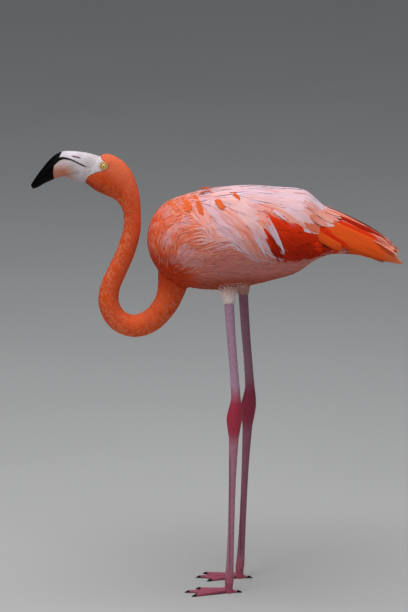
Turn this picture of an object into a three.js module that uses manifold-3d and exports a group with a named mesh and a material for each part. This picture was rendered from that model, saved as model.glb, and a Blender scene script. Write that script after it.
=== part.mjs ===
// Life-size American flamingo (Phoenicopterus ruber), standing on both legs with its neck hanging in a
// loop from the breast. Millimetres, +Z up. The bill points to -X and the bird's left side is at -Y.
// The origin is on the floor, at the middle of the bird's length and width.
//
// Head, neck, trunk, wings and tail are lofts through sections. A section is an oval across the bird,
// given by the highest and the lowest point of the outline there (as [x, z]) and by half its width.

import * as THREE from 'three';
import { mergeVertices } from 'three/addons/utils/BufferGeometryUtils.js';
import Module from 'manifold-3d';

const wasm = await Module();
wasm.setup();

// ---------------------------------------------------------------- driving dimensions

const GAP = 0.3;                    // clearance left between neighbouring parts

const BILL_BASE_HALF_WIDTH = 13.5;
const HEAD_HALF_WIDTH = 19;
const EYE_RADIUS = 6.2;
const EYE_SIDES = 12;
const EYE_RINGS = 7;
const EYE_CENTRE = [-201, 12.4, 779]; // the right eye; the left one is its mirror image
const BILL_GAP = 0.36;              // along X; the sloping feather line makes it GAP across
const GAPE_GAP = 0.5;               // space between the closed upper and lower bill

const HEAD_SIDES = 16;
const BILL_SIDES = 14;

const NECK_LENGTHS = 6;             // the bent neck is divided into this many lengths
const NECK_RINGS_PER_LENGTH = 5;
const NECK_SIDES = 14;

const BODY_SIDES = 22;
const TAIL_SIDES = 16;
const WING_THICKNESS = 12;          // folded flight feathers and coverts, at the side
const WING_ROOF = 6;                // the same feathers over the back
const RIGHT_WING_LIFT = 19;         // the right wing's tip lies this much higher than the left one's
const MANTLE_HALF_WIDTH = 24;       // strip of the back left open between the folded wings, in front
const MANTLE_FRONT_X = -70;
const MANTLE_END_X = 165;           // the two wings meet from here back
const MIDLINE_HALF_WIDTH = 0.3;

const FOOT_SPREAD = 51;             // from the middle plane to each foot
const HIP_SPREAD = 41;
const RIGHT_FOOT_SETBACK = 20;      // the right foot stands this much further back
const RIGHT_HOCK_SETBACK = 26;      // and its hock and thigh a little more
const FOOT_X = 23;                  // ankle of the left foot
const HOCK_HEIGHT = 324;
const LEG_SIDES = 10;

const ANKLE_RADIUS = 7.6;
const TOE_SIDES = 8;
const TOE_TAPER = 0.62;             // a toe's radius at its claw, as a share of the one at the ankle
const TOE_DROP = 0.9;               // how far each toe is pressed flat on the floor
const TOE_RISE = 1.6;               // how much higher its root lies, at the ankle
const TOE_RINGS = 4;
const KNUCKLE_SWELL = 0.07;         // share by which a toe thickens at each of its knuckles
const KNUCKLES = 3;
const WEB_BOTTOM = 0.8;
const WEB_TOP = 3;
const WEB_SCALLOP = 0.26;           // how far the web's free edge curves in, as a share of its length
const TOES = [
  { name: 'outer', length: 64, turn: 23, radius: 4.4 },
  { name: 'middle', length: 71, turn: 0, radius: 4.8 },
  { name: 'inner', length: 56, turn: -23, radius: 4.2 },
];
const HALLUX = { name: 'hind', length: 15, turn: 184, radius: 3.5 };
const CLAW_GAP = 0.6;               // the toes slope, so their ends need a little more than GAP
const CLAW_LENGTH = 8.5;
const CLAW_RADIUS = 2.7;
const CLAW_TIP_RADIUS = 0.6;
const CLAW_DROP = 0.2;              // how far a claw's root is pressed flat on the floor
const FLOOR_CUT = 3;                // solids run this far below the floor before they are cut off there

// ---------------------------------------------------------------- sections

// The trunk, from the front of the breast to the rump.
const FRONT_SECTIONS = [
  { top: [-124, 646], bottom: [-124, 634], halfWidth: 9 },
  { top: [-120, 668], bottom: [-118, 612], halfWidth: 35 },
  { top: [-108, 693], bottom: [-106, 590], halfWidth: 56 },
  { top: [-88, 711], bottom: [-86, 570], halfWidth: 73 },
  { top: [-52, 725], bottom: [-52, 557], halfWidth: 88 },
  { top: [0, 735.5], bottom: [0, 552], halfWidth: 95 },
  { top: [60, 740], bottom: [60, 560], halfWidth: 92 },
  { top: [110, 736.5], bottom: [106, 571], halfWidth: 82 },
];
const RUMP_SECTIONS = [
  { top: [156, 733], bottom: [144, 582], halfWidth: 67 },
  { top: [187, 706], bottom: [171, 602], halfWidth: 49 },
  { top: [211, 688], bottom: [204, 617], halfWidth: 33 },
  { top: [238, 668], bottom: [234, 628], halfWidth: 18 },
];
// The folded wings share the trunk's front and run on to the tips of their longest feathers.
const WING_SECTIONS = [
  { top: [156, 733], bottom: [150, 573], halfWidth: 70 },
  { top: [178, 716], bottom: [176, 582], halfWidth: 61 },
  { top: [195, 701], bottom: [196, 588], halfWidth: 56 },
  { top: [222, 690.5], bottom: [222, 592], halfWidth: 49 },
  { top: [260, 670.5], bottom: [260, 588], halfWidth: 39 },
  { top: [297, 649.5], bottom: [297, 578], halfWidth: 28 },
  { top: [320, 634], bottom: [320, 578], halfWidth: 17 },
  { top: [336, 616], bottom: [336, 588], halfWidth: 6 },
];
const TAIL_SECTIONS = [
  { top: [232, 645], bottom: [232, 623], halfWidth: 24 },
  { top: [262, 637], bottom: [262, 619], halfWidth: 22 },
  { top: [292, 624], bottom: [292, 611], halfWidth: 17 },
  { top: [314, 612], bottom: [314, 604], halfWidth: 9 },
];

// Side outline of a folded wing: its front edge at the shoulder, its lower edge, and the feather tips.
const WING_SHOULDER = [[-20, 790], [-62, 742], [-93, 700], [-97, 668], [-84, 645]];
const WING_LOWER_EDGE = [[-40, 634], [40, 625], [110, 618], [176, 620], [212, 627]];
const WING_COVERT_TIP = [[241, 622], [228, 636]];
const WING_TERTIALS = [[268, 625], [304, 606], [333.4, 600], [320, 618], [297, 650]];
const WING_BACK = [[222, 730], [150, 790]];
const LIFT_START_X = 190;
const LIFT_END_X = 333;

// The neck's middle line, from the head down, round the loop and into the breast, with its radius.
const NECK_LINE = [
  { at: [-150.5, 690], radius: 15 },
  { at: [-151.5, 660], radius: 15.3 },
  { at: [-162, 622], radius: 16 },
  { at: [-178, 585], radius: 16.6 },
  { at: [-191, 554], radius: 17.2 },
  { at: [-193, 524], radius: 18 },
  { at: [-178, 496], radius: 18.8 },
  { at: [-149, 484], radius: 19.7 },
  { at: [-119, 493], radius: 20.2 },
  { at: [-95.5, 517], radius: 21 },
  { at: [-82, 546], radius: 24 },
  { at: [-73, 590], radius: 31 },
];

// The head, from the feather line behind the bill to the top of the neck.
const HEAD_SECTIONS = [
  { top: [-209, 794], bottom: [-236, 748], halfWidth: BILL_BASE_HALF_WIDTH },
  { top: [-199, 798], bottom: [-227, 741], halfWidth: 16.5 },
  { top: [-189, 797], bottom: [-216, 732.5], halfWidth: HEAD_HALF_WIDTH },
  { top: [-178.5, 792.5], bottom: [-203, 726], halfWidth: HEAD_HALF_WIDTH },
  { top: [-166, 784], bottom: [-190, 720.5], halfWidth: 18.7 },
  { top: [-155, 771], bottom: [-180, 715], halfWidth: 18.2 },
  { top: [-147, 756], bottom: [-174, 708], halfWidth: 17.4 },
  { top: [-141, 737], bottom: [-169.5, 701], halfWidth: 16.6 },
  { top: [-137, 716], bottom: [-167, 694.5], halfWidth: 16 },
];
const BILL_SECTIONS = [
  { top: [-209, 794], bottom: [-236, 748], halfWidth: BILL_BASE_HALF_WIDTH },
  { top: [-231, 800], bottom: [-247, 748.5], halfWidth: 13.4 },
  { top: [-253, 803], bottom: [-258, 750], halfWidth: 13.4 },
  { top: [-273, 803], bottom: [-271, 757.5], halfWidth: 13.2 },
  { top: [-287, 798], bottom: [-284, 755.5], halfWidth: 12.4 },
  { top: [-300, 787], bottom: [-296, 750.5], halfWidth: 11 },
  { top: [-313, 771.5], bottom: [-308, 745], halfWidth: 9 },
  { top: [-325, 755], bottom: [-320, 738], halfWidth: 6.4 },
  { top: [-333, 742], bottom: [-329, 735], halfWidth: 2.6 },
];
// The mouth line in side view, from behind the corner of the mouth to the tip.
const GAPE_LINE = [[-200, 764], [-233, 777.5], [-257, 789], [-274, 792.5], [-285, 788.5], [-300, 773],
  [-315, 756.5], [-329, 741], [-345, 724]];

// One leg, from under the belly's feathers to the ankle: front-to-back radius and side-to-side radius.
const THIGH_LINE = [
  { x: 18, z: 610, deep: 27, wide: 24 },
  { x: 20, z: 572, deep: 18, wide: 17 },
  { x: 22.5, z: 541, deep: 10.8, wide: 10 },
];
const SHANK_LINE = [
  { x: 22.5, z: 541, deep: 8.8, wide: 8 },
  { x: 27.3, z: 466, deep: 8, wide: 7 },
  { x: 32, z: 410, deep: 7.7, wide: 6.8 },
  { x: 35.5, z: 360, deep: 8.6, wide: 7.6 },
];
const HOCK_LINE = [
  { x: 35.5, z: 360, deep: 8.6, wide: 7.6 },
  { x: 34.5, z: 342, deep: 11.8, wide: 8.8 },
  { x: 32.5, z: HOCK_HEIGHT, deep: 14.2, wide: 10 },
  { x: 32, z: 304, deep: 11.6, wide: 8.8 },
  { x: 31.7, z: 288, deep: 9, wide: 7 },
];
const TARSUS_LINE = [
  { x: 31.7, z: 288, deep: 9, wide: 7 },
  { x: 29.2, z: 210, deep: 6.4, wide: 5.4 },
  { x: 27, z: 118, deep: 5.9, wide: 5.1 },
  { x: 24.8, z: 48, deep: 7, wide: 5.8 },
  { x: 23.5, z: 22, deep: 8.2, wide: 7 },
];

// ---------------------------------------------------------------- materials

const ORANGE_FEATHER = new THREE.MeshStandardMaterial({ color: 0xe8602c, roughness: 0.8, metalness: 0 });
const PALE_FEATHER = new THREE.MeshStandardMaterial({ color: 0xf2a08a, roughness: 0.8, metalness: 0 });
const BARE_SKIN = new THREE.MeshStandardMaterial({ color: 0xb5607c, roughness: 0.6, metalness: 0 });
const BILL_HORN = new THREE.MeshStandardMaterial({ color: 0xe8d6d2, roughness: 0.4, metalness: 0 });
const CLAW_HORN = new THREE.MeshStandardMaterial({ color: 0x2c2226, roughness: 0.5, metalness: 0 });
const EYE_SURFACE = new THREE.MeshStandardMaterial({ color: 0xe6dc6a, roughness: 0.1, metalness: 0 });

// ---------------------------------------------------------------- geometry helpers

const side = new THREE.Vector3(0, 1, 0);

// A point of the bird's middle plane.
function inPlane([x, z]) {
  return new THREE.Vector3(x, 0, z);
}

// The volume inside a closed mesh, negative where its faces point inwards.
function signedVolume(positions, faces) {
  const corner = (index) => new THREE.Vector3().fromArray(positions, 3 * index);
  let volume = 0;
  for (let i = 0; i < faces.length; i += 3) {
    volume += corner(faces[i]).dot(corner(faces[i + 1]).cross(corner(faces[i + 2]))) / 6;
  }
  return volume;
}

// A closed mesh through rings that all hold the same number of points, with a flat cap at each end.
function loft(rings) {
  const count = rings[0].length;
  const positions = rings.flat().flatMap((point) => point.toArray());
  const faces = [];
  for (let ring = 0; ring < rings.length - 1; ring += 1) {
    for (let i = 0; i < count; i += 1) {
      const next = (i + 1) % count;
      const here = ring * count;
      const there = here + count;
      faces.push(here + i, here + next, there + next, here + i, there + next, there + i);
    }
  }
  const firstCentre = positions.length / 3;
  for (const ring of [rings[0], rings.at(-1)]) {
    const centre = new THREE.Vector3();
    ring.forEach((point) => centre.addScaledVector(point, 1 / count));
    positions.push(...centre.toArray());
  }
  const lastRing = (rings.length - 1) * count;
  for (let i = 0; i < count; i += 1) {
    const next = (i + 1) % count;
    faces.push(firstCentre, next, i);
    faces.push(firstCentre + 1, lastRing + i, lastRing + next);
  }
  if (signedVolume(positions, faces) < 0) {
    faces.reverse();
  }
  const geometry = new THREE.BufferGeometry();
  geometry.setAttribute('position', new THREE.Float32BufferAttribute(positions, 3));
  geometry.setIndex(faces);
  return geometry;
}

// The points round one section; grow moves them outwards all round.
function sectionRing({ top, bottom, halfWidth }, sides, grow = 0) {
  const centre = inPlane(top).add(inPlane(bottom)).multiplyScalar(0.5);
  const up = inPlane(top).sub(centre);
  const height = up.length();
  up.setLength(height + grow);
  const ring = [];
  for (let i = 0; i < sides; i += 1) {
    const angle = (2 * Math.PI * i) / sides;
    const point = centre.clone().addScaledVector(up, Math.cos(angle));
    ring.push(point.addScaledVector(side, Math.sin(angle) * (halfWidth + grow)));
  }
  return ring;
}

// Smooth sections between the given ones: steps of them from each to the next.
function smoothSections(sections, steps) {
  const upper = new THREE.CatmullRomCurve3(
    sections.map(({ top, halfWidth }) => new THREE.Vector3(top[0], halfWidth, top[1])),
    false, 'catmullrom', 0.5);
  const lower = new THREE.CatmullRomCurve3(
    sections.map(({ bottom, halfWidth }) => new THREE.Vector3(bottom[0], halfWidth, bottom[1])),
    false, 'catmullrom', 0.5);
  const count = (sections.length - 1) * steps;
  return Array.from({ length: count + 1 }, (_, i) => {
    const high = upper.getPoint(i / count);
    const low = lower.getPoint(i / count);
    return { top: [high.x, high.z], bottom: [low.x, low.z], halfWidth: high.y };
  });
}

// The sections with their sides and their top drawn in, which is what lies inside the folded wings.
function insetSections(sections, fromSide, fromTop) {
  return sections.map(({ top, bottom, halfWidth }) => {
    const inset = Math.min(fromSide, halfWidth / 2);
    return { top: [top[0], top[1] - fromTop], bottom, halfWidth: halfWidth - inset };
  });
}

function loftSections(sections, steps, sides, grow = 0) {
  return loft(smoothSections(sections, steps).map((section) => sectionRing(section, sides, grow)));
}

function toSolid(geometry) {
  const bare = geometry.clone();
  bare.deleteAttribute('normal');
  bare.deleteAttribute('uv');
  const merged = mergeVertices(bare);
  return new wasm.Manifold(new wasm.Mesh({
    numProp: 3,
    vertProperties: new Float32Array(merged.attributes.position.array),
    triVerts: new Uint32Array(merged.index.array),
  }));
}

function toGeometry(solid) {
  const { vertProperties, triVerts } = solid.getMesh();
  const geometry = new THREE.BufferGeometry();
  geometry.setAttribute('position', new THREE.Float32BufferAttribute(vertProperties, 3));
  geometry.setIndex(Array.from(triVerts));
  return geometry;
}

function box(low, high) {
  const size = high.map((value, axis) => value - low[axis]);
  const geometry = new THREE.BoxGeometry(...size);
  geometry.translate(...high.map((value, axis) => (value + low[axis]) / 2));
  return toSolid(geometry);
}

// A side outline in the XZ plane, given as [x, z], pushed out along Y from nearY to farY.
function extrudeSideways(outline, nearY, farY) {
  const shape = new THREE.Shape(outline.map(([x, z]) => new THREE.Vector2(x, z)));
  const geometry = new THREE.ExtrudeGeometry(shape, { depth: farY - nearY, bevelEnabled: false });
  geometry.rotateX(Math.PI / 2);
  geometry.translate(0, farY, 0);
  return toSolid(geometry);
}

// The outline moved outwards by a distance; its points run round with the shape on their left.
function offsetOutline(outline, distance) {
  return outline.map(([x, z], i) => {
    const before = outline.at(i - 1);
    const after = outline[(i + 1) % outline.length];
    const arriving = new THREE.Vector2(x - before[0], z - before[1]).normalize();
    const leaving = new THREE.Vector2(after[0] - x, after[1] - z).normalize();
    const outward = new THREE.Vector2(arriving.y + leaving.y, -arriving.x - leaving.x).normalize();
    const stretch = distance / Math.max(0.4, outward.dot(new THREE.Vector2(arriving.y, -arriving.x)));
    return [x + outward.x * stretch, z + outward.y * stretch];
  });
}

const bird = new THREE.Group();

function add(name, geometry, material) {
  const mesh = new THREE.Mesh(geometry, material);
  mesh.name = name;
  bird.add(mesh);
}

// The same solid on the other side of the bird.
function mirrored(solid) {
  return solid.mirror([0, 1, 0]);
}

// ---------------------------------------------------------------- neck

// The neck's section at a place from 0, at the head, to 1, inside the breast.
const neckCurve = new THREE.CatmullRomCurve3(
  NECK_LINE.map(({ at, radius }) => new THREE.Vector3(at[0], radius, at[1])), false, 'catmullrom', 0.5);

function neckSection(place) {
  const { x, y: radius, z } = neckCurve.getPoint(place);
  const along = neckCurve.getTangent(place).setY(0).normalize();
  const back = new THREE.Vector3(-along.z, 0, along.x).multiplyScalar(radius);
  return { top: [x + back.x, z + back.z], bottom: [x - back.x, z - back.z], halfWidth: radius };
}

function makeNeck(breast) {
  for (let length = 0; length < NECK_LENGTHS; length += 1) {
    const cut = GAP / 2 / neckCurve.getLength();
    const start = length / NECK_LENGTHS + cut;
    const end = (length + 1) / NECK_LENGTHS - cut;
    const rings = [];
    for (let ring = 0; ring <= NECK_RINGS_PER_LENGTH; ring += 1) {
      const place = THREE.MathUtils.lerp(start, end, ring / NECK_RINGS_PER_LENGTH);
      rings.push(sectionRing(neckSection(place), NECK_SIDES));
    }
    const isBase = length === NECK_LENGTHS - 1;
    const tube = loft(rings);
    const geometry = isBase ? toGeometry(toSolid(tube).subtract(breast)) : tube;
    add(isBase ? 'neck_base' : `neck_${length + 1}`, geometry, ORANGE_FEATHER);
  }
}

// ---------------------------------------------------------------- head, eyes and bill

function eyeSolid(grow) {
  const geometry = new THREE.SphereGeometry(EYE_RADIUS + grow, EYE_SIDES, EYE_RINGS);
  geometry.rotateX(Math.PI / 2);
  geometry.translate(...EYE_CENTRE);
  return toSolid(geometry);
}

function makeHead() {
  const sections = [...HEAD_SECTIONS, neckSection(0)];
  const sockets = eyeSolid(GAP).add(mirrored(eyeSolid(GAP)));
  const head = toSolid(loftSections(sections, 1, HEAD_SIDES)).subtract(sockets);
  add('head', toGeometry(head), ORANGE_FEATHER);
  add('eye_right', toGeometry(eyeSolid(0)), EYE_SURFACE);
  add('eye_left', toGeometry(mirrored(eyeSolid(0))), EYE_SURFACE);
}

function makeBill() {
  const whole = toSolid(loftSections(BILL_SECTIONS, 1, BILL_SIDES).translate(-BILL_GAP, 0, 0));
  const reach = 60;
  const above = [...GAPE_LINE, [-345, 860], [-200, 860]].reverse();
  const below = [...GAPE_LINE, [-345, 700], [-200, 700]];
  const halfGape = GAPE_GAP / 2;
  const upper = whole.intersect(extrudeSideways(above, -reach, reach).translate([0, 0, halfGape]));
  const lower = whole.intersect(extrudeSideways(below, -reach, reach).translate([0, 0, -halfGape]));
  add('bill_upper', toGeometry(upper), BILL_HORN);
  add('bill_lower', toGeometry(lower), BILL_HORN);
}

// ---------------------------------------------------------------- trunk, wings and tail

// A folded wing's side outline; lift raises its rear feathers towards their tips.
function wingOutline(lift) {
  const lifted = [...WING_LOWER_EDGE, ...WING_COVERT_TIP, ...WING_TERTIALS].map(([x, z]) => {
    const share = THREE.MathUtils.clamp((x - LIFT_START_X) / (LIFT_END_X - LIFT_START_X), 0, 1);
    return [x - share * lift / 4, z + share * lift];
  });
  return [...WING_SHOULDER, ...lifted, ...WING_BACK];
}

// The space of one folded wing, on the right side: its side outline, clear of the strip along the back.
function wingSpace(outline, grow) {
  const reach = 200;
  const strip = new THREE.Shape([
    new THREE.Vector2(MANTLE_FRONT_X - reach, MANTLE_HALF_WIDTH - grow),
    new THREE.Vector2(MANTLE_FRONT_X, MANTLE_HALF_WIDTH - grow),
    new THREE.Vector2(MANTLE_END_X, MIDLINE_HALF_WIDTH - grow),
    new THREE.Vector2(MANTLE_END_X + reach, MIDLINE_HALF_WIDTH - grow),
    new THREE.Vector2(MANTLE_END_X + reach, reach),
    new THREE.Vector2(MANTLE_FRONT_X - reach, reach),
  ]);
  const plan = toSolid(new THREE.ExtrudeGeometry(strip, { depth: 1000, bevelEnabled: false }));
  return extrudeSideways(offsetOutline(outline, grow), 0, reach).intersect(plan);
}

function makeTrunk() {
  const trunkSections = [...FRONT_SECTIONS, ...RUMP_SECTIONS];
  const wingSections = [...FRONT_SECTIONS, ...WING_SECTIONS];
  const innerSections = insetSections(trunkSections, WING_THICKNESS, WING_ROOF);

  const whole = toSolid(loftSections(trunkSections, 2, BODY_SIDES));
  const inner = toSolid(loftSections(innerSections, 2, BODY_SIDES));
  const innerGrown = toSolid(loftSections(innerSections, 2, BODY_SIDES, GAP));
  const coat = toSolid(loftSections(wingSections, 2, BODY_SIDES));
  const tail = toSolid(loftSections(TAIL_SECTIONS, 2, TAIL_SIDES));
  const tailGrown = toSolid(loftSections(TAIL_SECTIONS, 2, TAIL_SIDES, GAP));

  const outlines = { right: wingOutline(RIGHT_WING_LIFT), left: wingOutline(0) };
  const rightWing = coat.intersect(wingSpace(outlines.right, 0)).subtract(innerGrown).subtract(tailGrown);
  const leftWing = coat.intersect(mirrored(wingSpace(outlines.left, 0))).subtract(innerGrown)
    .subtract(tailGrown);
  const wingRoom = wingSpace(outlines.right, GAP).add(mirrored(wingSpace(outlines.left, GAP)));

  add('trunk', toGeometry(whole.subtract(wingRoom).add(inner).subtract(tailGrown)), PALE_FEATHER);
  add('wing_right', toGeometry(rightWing), PALE_FEATHER);
  add('wing_left', toGeometry(leftWing), PALE_FEATHER);
  add('tail', toGeometry(tail.subtract(innerGrown)), ORANGE_FEATHER);
  return toSolid(loftSections(trunkSections, 2, BODY_SIDES, GAP));
}

// ---------------------------------------------------------------- legs and feet

// How far a leg stands from the middle plane at a height.
function spreadAt(z) {
  const hipHeight = 600;
  return THREE.MathUtils.lerp(FOOT_SPREAD, HIP_SPREAD, z / hipHeight);
}

// How far the right leg stands behind the left one at a height.
function setbackAt(z) {
  return THREE.MathUtils.mapLinear(Math.min(z, HOCK_HEIGHT), 0, HOCK_HEIGHT, RIGHT_FOOT_SETBACK,
    RIGHT_HOCK_SETBACK);
}

// A loft down a stretch of leg; the cut ends keep half a gap each to their neighbours.
function legStretch(line, steps, outward) {
  const curve = (key) => new THREE.CatmullRomCurve3(
    line.map((entry) => new THREE.Vector3(entry.x, entry[key], entry.z)), false, 'catmullrom', 0.5);
  const deepCurve = curve('deep');
  const wideCurve = curve('wide');
  const count = (line.length - 1) * steps;
  const cut = GAP / 2 / deepCurve.getLength();
  const rings = [];
  for (let ring = 0; ring <= count; ring += 1) {
    const place = THREE.MathUtils.lerp(cut, 1 - cut, ring / count);
    const { x, y: deep, z } = deepCurve.getPoint(place);
    const wide = wideCurve.getPoint(place).y;
    const points = [];
    for (let i = 0; i < LEG_SIDES; i += 1) {
      const angle = (2 * Math.PI * i) / LEG_SIDES;
      const y = outward * spreadAt(z) + wide * Math.sin(angle);
      const back = outward > 0 ? setbackAt(z) : 0;
      points.push(new THREE.Vector3(x + back - deep * Math.cos(angle), y, z));
    }
    rings.push(points);
  }
  return toSolid(loft(rings));
}

// A round tapered finger lying along a direction on the floor, from one radius to another.
function taperedFinger(from, to, startRadius, endRadius, rings) {
  const along = to.clone().sub(from).normalize();
  const across = new THREE.Vector3().crossVectors(new THREE.Vector3(0, 0, 1), along).normalize();
  const up = new THREE.Vector3().crossVectors(along, across);
  const sections = [];
  for (let ring = 0; ring <= rings; ring += 1) {
    const share = ring / rings;
    const knuckle = 1 + KNUCKLE_SWELL * Math.cos(share * KNUCKLES * 2 * Math.PI);
    const radius = THREE.MathUtils.lerp(startRadius, endRadius, share) * knuckle;
    const centre = from.clone().lerp(to, share);
    const points = [];
    for (let i = 0; i < TOE_SIDES; i += 1) {
      const angle = (2 * Math.PI * i) / TOE_SIDES;
      const point = centre.clone().addScaledVector(across, radius * Math.cos(angle));
      points.push(point.addScaledVector(up, radius * Math.sin(angle)));
    }
    sections.push(points);
  }
  return toSolid(loft(sections));
}

// Direction of a toe on the floor; turn is in degrees, positive towards the bird's outer side.
function toeDirection(turn, outward) {
  const angle = THREE.MathUtils.degToRad(turn);
  return new THREE.Vector3(-Math.cos(angle), outward * Math.sin(angle), 0);
}

// Both ends of a toe's middle line: at the ankle, and where its claw begins.
function toeEnds(toe, ankle, outward) {
  const start = ankle.clone().setZ(toe.radius + TOE_RISE);
  const end = ankle.clone().addScaledVector(toeDirection(toe.turn, outward), toe.length);
  end.z = toe.radius * TOE_TAPER - TOE_DROP;
  return [start, end];
}

// The skin between two toes, its free edge curved in towards the ankle.
function web(first, second, ankle, outward) {
  const ends = [first, second].map((toe) => toeEnds(toe, ankle, outward)[1]);
  const middle = ends[0].clone().add(ends[1]).multiplyScalar(0.5).lerp(ankle, WEB_SCALLOP);
  const outline = new THREE.Shape();
  outline.moveTo(ankle.x, ankle.y);
  outline.lineTo(ends[0].x, ends[0].y);
  outline.quadraticCurveTo(middle.x, middle.y, ends[1].x, ends[1].y);
  outline.closePath();
  const geometry = new THREE.ExtrudeGeometry(outline, {
    depth: WEB_TOP - WEB_BOTTOM, bevelEnabled: false, curveSegments: 6,
  });
  geometry.translate(0, 0, WEB_BOTTOM);
  return toSolid(geometry);
}

function makeFoot(sideName, ankle, outward) {
  const aboveFloor = box([-400, -400, 0], [400, 400, 400]);
  const tarsusEnd = TARSUS_LINE.at(-1);
  const ankleTop = ankle.clone().setZ(tarsusEnd.z - GAP);
  ankleTop.x += tarsusEnd.x - FOOT_X;
  const ankleEnd = ankle.clone().setZ(-FLOOR_CUT);
  let foot = taperedFinger(ankleTop, ankleEnd, ANKLE_RADIUS, ANKLE_RADIUS, TOE_RINGS);
  for (const toe of [...TOES, HALLUX]) {
    const [start, end] = toeEnds(toe, ankle, outward);
    foot = foot.add(taperedFinger(start, end, toe.radius, toe.radius * TOE_TAPER, TOE_RINGS));
    const direction = toeDirection(toe.turn, outward);
    const root = end.clone().addScaledVector(direction, CLAW_GAP).setZ(CLAW_RADIUS - CLAW_DROP);
    const tip = root.clone().addScaledVector(direction, CLAW_LENGTH).setZ(CLAW_TIP_RADIUS);
    const claw = taperedFinger(root, tip, CLAW_RADIUS, CLAW_TIP_RADIUS, 2).intersect(aboveFloor);
    add(`claw_${toe.name}_${sideName}`, toGeometry(claw), CLAW_HORN);
  }
  foot = foot.add(web(TOES[0], TOES[1], ankle, outward)).add(web(TOES[1], TOES[2], ankle, outward));
  add(`foot_${sideName}`, toGeometry(foot.intersect(aboveFloor)), BARE_SKIN);
}

function makeLeg(sideName, outward, belly) {
  const tarsus = legStretch(TARSUS_LINE, 2, outward);
  add(`thigh_${sideName}`, toGeometry(legStretch(THIGH_LINE, 3, outward).subtract(belly)), PALE_FEATHER);
  add(`shank_${sideName}`, toGeometry(legStretch(SHANK_LINE, 2, outward)), BARE_SKIN);
  add(`hock_${sideName}`, toGeometry(legStretch(HOCK_LINE, 2, outward)), BARE_SKIN);
  add(`tarsus_${sideName}`, toGeometry(tarsus), BARE_SKIN);
  const ankleX = FOOT_X + (outward > 0 ? RIGHT_FOOT_SETBACK : 0);
  makeFoot(sideName, new THREE.Vector3(ankleX, outward * FOOT_SPREAD, 0), outward);
}

// ---------------------------------------------------------------- the whole bird

const body = makeTrunk();
makeNeck(body);
makeHead();
makeBill();
makeLeg('left', -1, body);
makeLeg('right', 1, body);

export default bird;
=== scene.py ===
"""Looks of the American flamingo: one skin, plumage of solid vanes, horn, eyes and claws.

Metres, +Z up. The bill points to -X and the bird's left side, which the camera sees, is at -Y.
Tables of places are in millimetres, in the same frame.
"""
import math

import bmesh
import bpy
import numpy as np
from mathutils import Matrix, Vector
from mathutils.bvhtree import BVHTree
from mathutils.kdtree import KDTree


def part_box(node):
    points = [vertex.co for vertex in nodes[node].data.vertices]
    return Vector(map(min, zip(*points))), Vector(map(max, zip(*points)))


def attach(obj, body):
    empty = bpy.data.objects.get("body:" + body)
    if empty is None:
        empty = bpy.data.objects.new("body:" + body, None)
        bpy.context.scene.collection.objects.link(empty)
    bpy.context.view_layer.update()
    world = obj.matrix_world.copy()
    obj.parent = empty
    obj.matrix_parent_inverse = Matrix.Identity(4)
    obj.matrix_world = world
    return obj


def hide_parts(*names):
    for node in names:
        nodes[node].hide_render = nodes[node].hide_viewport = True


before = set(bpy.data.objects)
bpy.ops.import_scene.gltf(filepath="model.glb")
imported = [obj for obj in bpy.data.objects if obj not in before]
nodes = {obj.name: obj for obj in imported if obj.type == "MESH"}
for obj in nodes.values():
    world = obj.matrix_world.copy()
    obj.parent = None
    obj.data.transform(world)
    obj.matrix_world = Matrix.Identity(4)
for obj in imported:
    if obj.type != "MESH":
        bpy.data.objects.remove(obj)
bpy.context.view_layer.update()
MM = 0.001

# ---------------------------------------------------------------- camera

VIEW_ELEVATION = math.radians(12)     # how far the camera looks down
VIEW_DISTANCE = 8.5
VIEW_HEIGHT = 1.1016                    # height of the picture at the bird
VIEW_CENTRE = Vector((-0.022, 0, 0.5205))
SENSOR = 36.0

# ---------------------------------------------------------------- sizes and places

COAT_DEPTH_HEAD = 1.7                   # the skin lies this far inside the coat
COAT_DEPTH_NECK = 2.4
COAT_DEPTH_BODY = 6.5
COAT_DEPTH_THIGH = 3.0
COAT_DEPTH_WING = 2.5
THIGH_FLARE = 0.16                      # how much wider the thigh is under the belly
THIGH_ROOT = 26                         # how far it runs on up into the belly
PATCH = 0.003                           # one feather's share of the OFBake map

EYE_CENTRE = (-201, 12.4, 779)          # the right eye; the left one is its mirror image
EYE_RADIUS = 6.2
LID_OPENING = (4.3, 3.7)                # half the length and half the height between the lids
LID_RADIUS = 1.0

HEAD_SECTIONS = [                       # top x, top z, bottom x, bottom z, half width
    (-209, 794, -236, 748, 13.5),
    (-199, 798, -227, 741, 16.5),
    (-189, 797, -216, 732.5, 19),
    (-178.5, 792.5, -203, 726, 19),
    (-166, 784, -190, 720.5, 18.7),
    (-155, 771, -180, 715, 18.2),
    (-147, 756, -174, 708, 17.4),
    (-141, 737, -169.5, 701, 16.6),
    (-137, 716, -167, 694.5, 16),
]
BILL_SECTIONS = [
    (-209, 794, -236, 748, 13.5),
    (-231, 800, -247, 748.5, 13.4),
    (-253, 803, -258, 750, 13.4),
    (-273, 803, -271, 757.5, 13.2),
    (-287, 798, -284, 755.5, 12.4),
    (-300, 787, -296, 750.5, 11),
    (-313, 771.5, -308, 745, 9),
    (-325, 755, -320, 738, 6.4),
    (-333, 742, -329, 735, 2.6),
]
GAPE_LINE = [(-200, 764), (-233, 777.5), (-257, 789), (-274, 792.5), (-285, 788.5), (-300, 773),
             (-315, 756.5), (-329, 741), (-345, 724)]
BILL_OVERLAP = 0.9                      # how far the bill's root runs under the skin of the face
BILL_SNUG = 0.014                       # and how much smaller it is there, as a share
GAPE_GAP = 0.5

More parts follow.
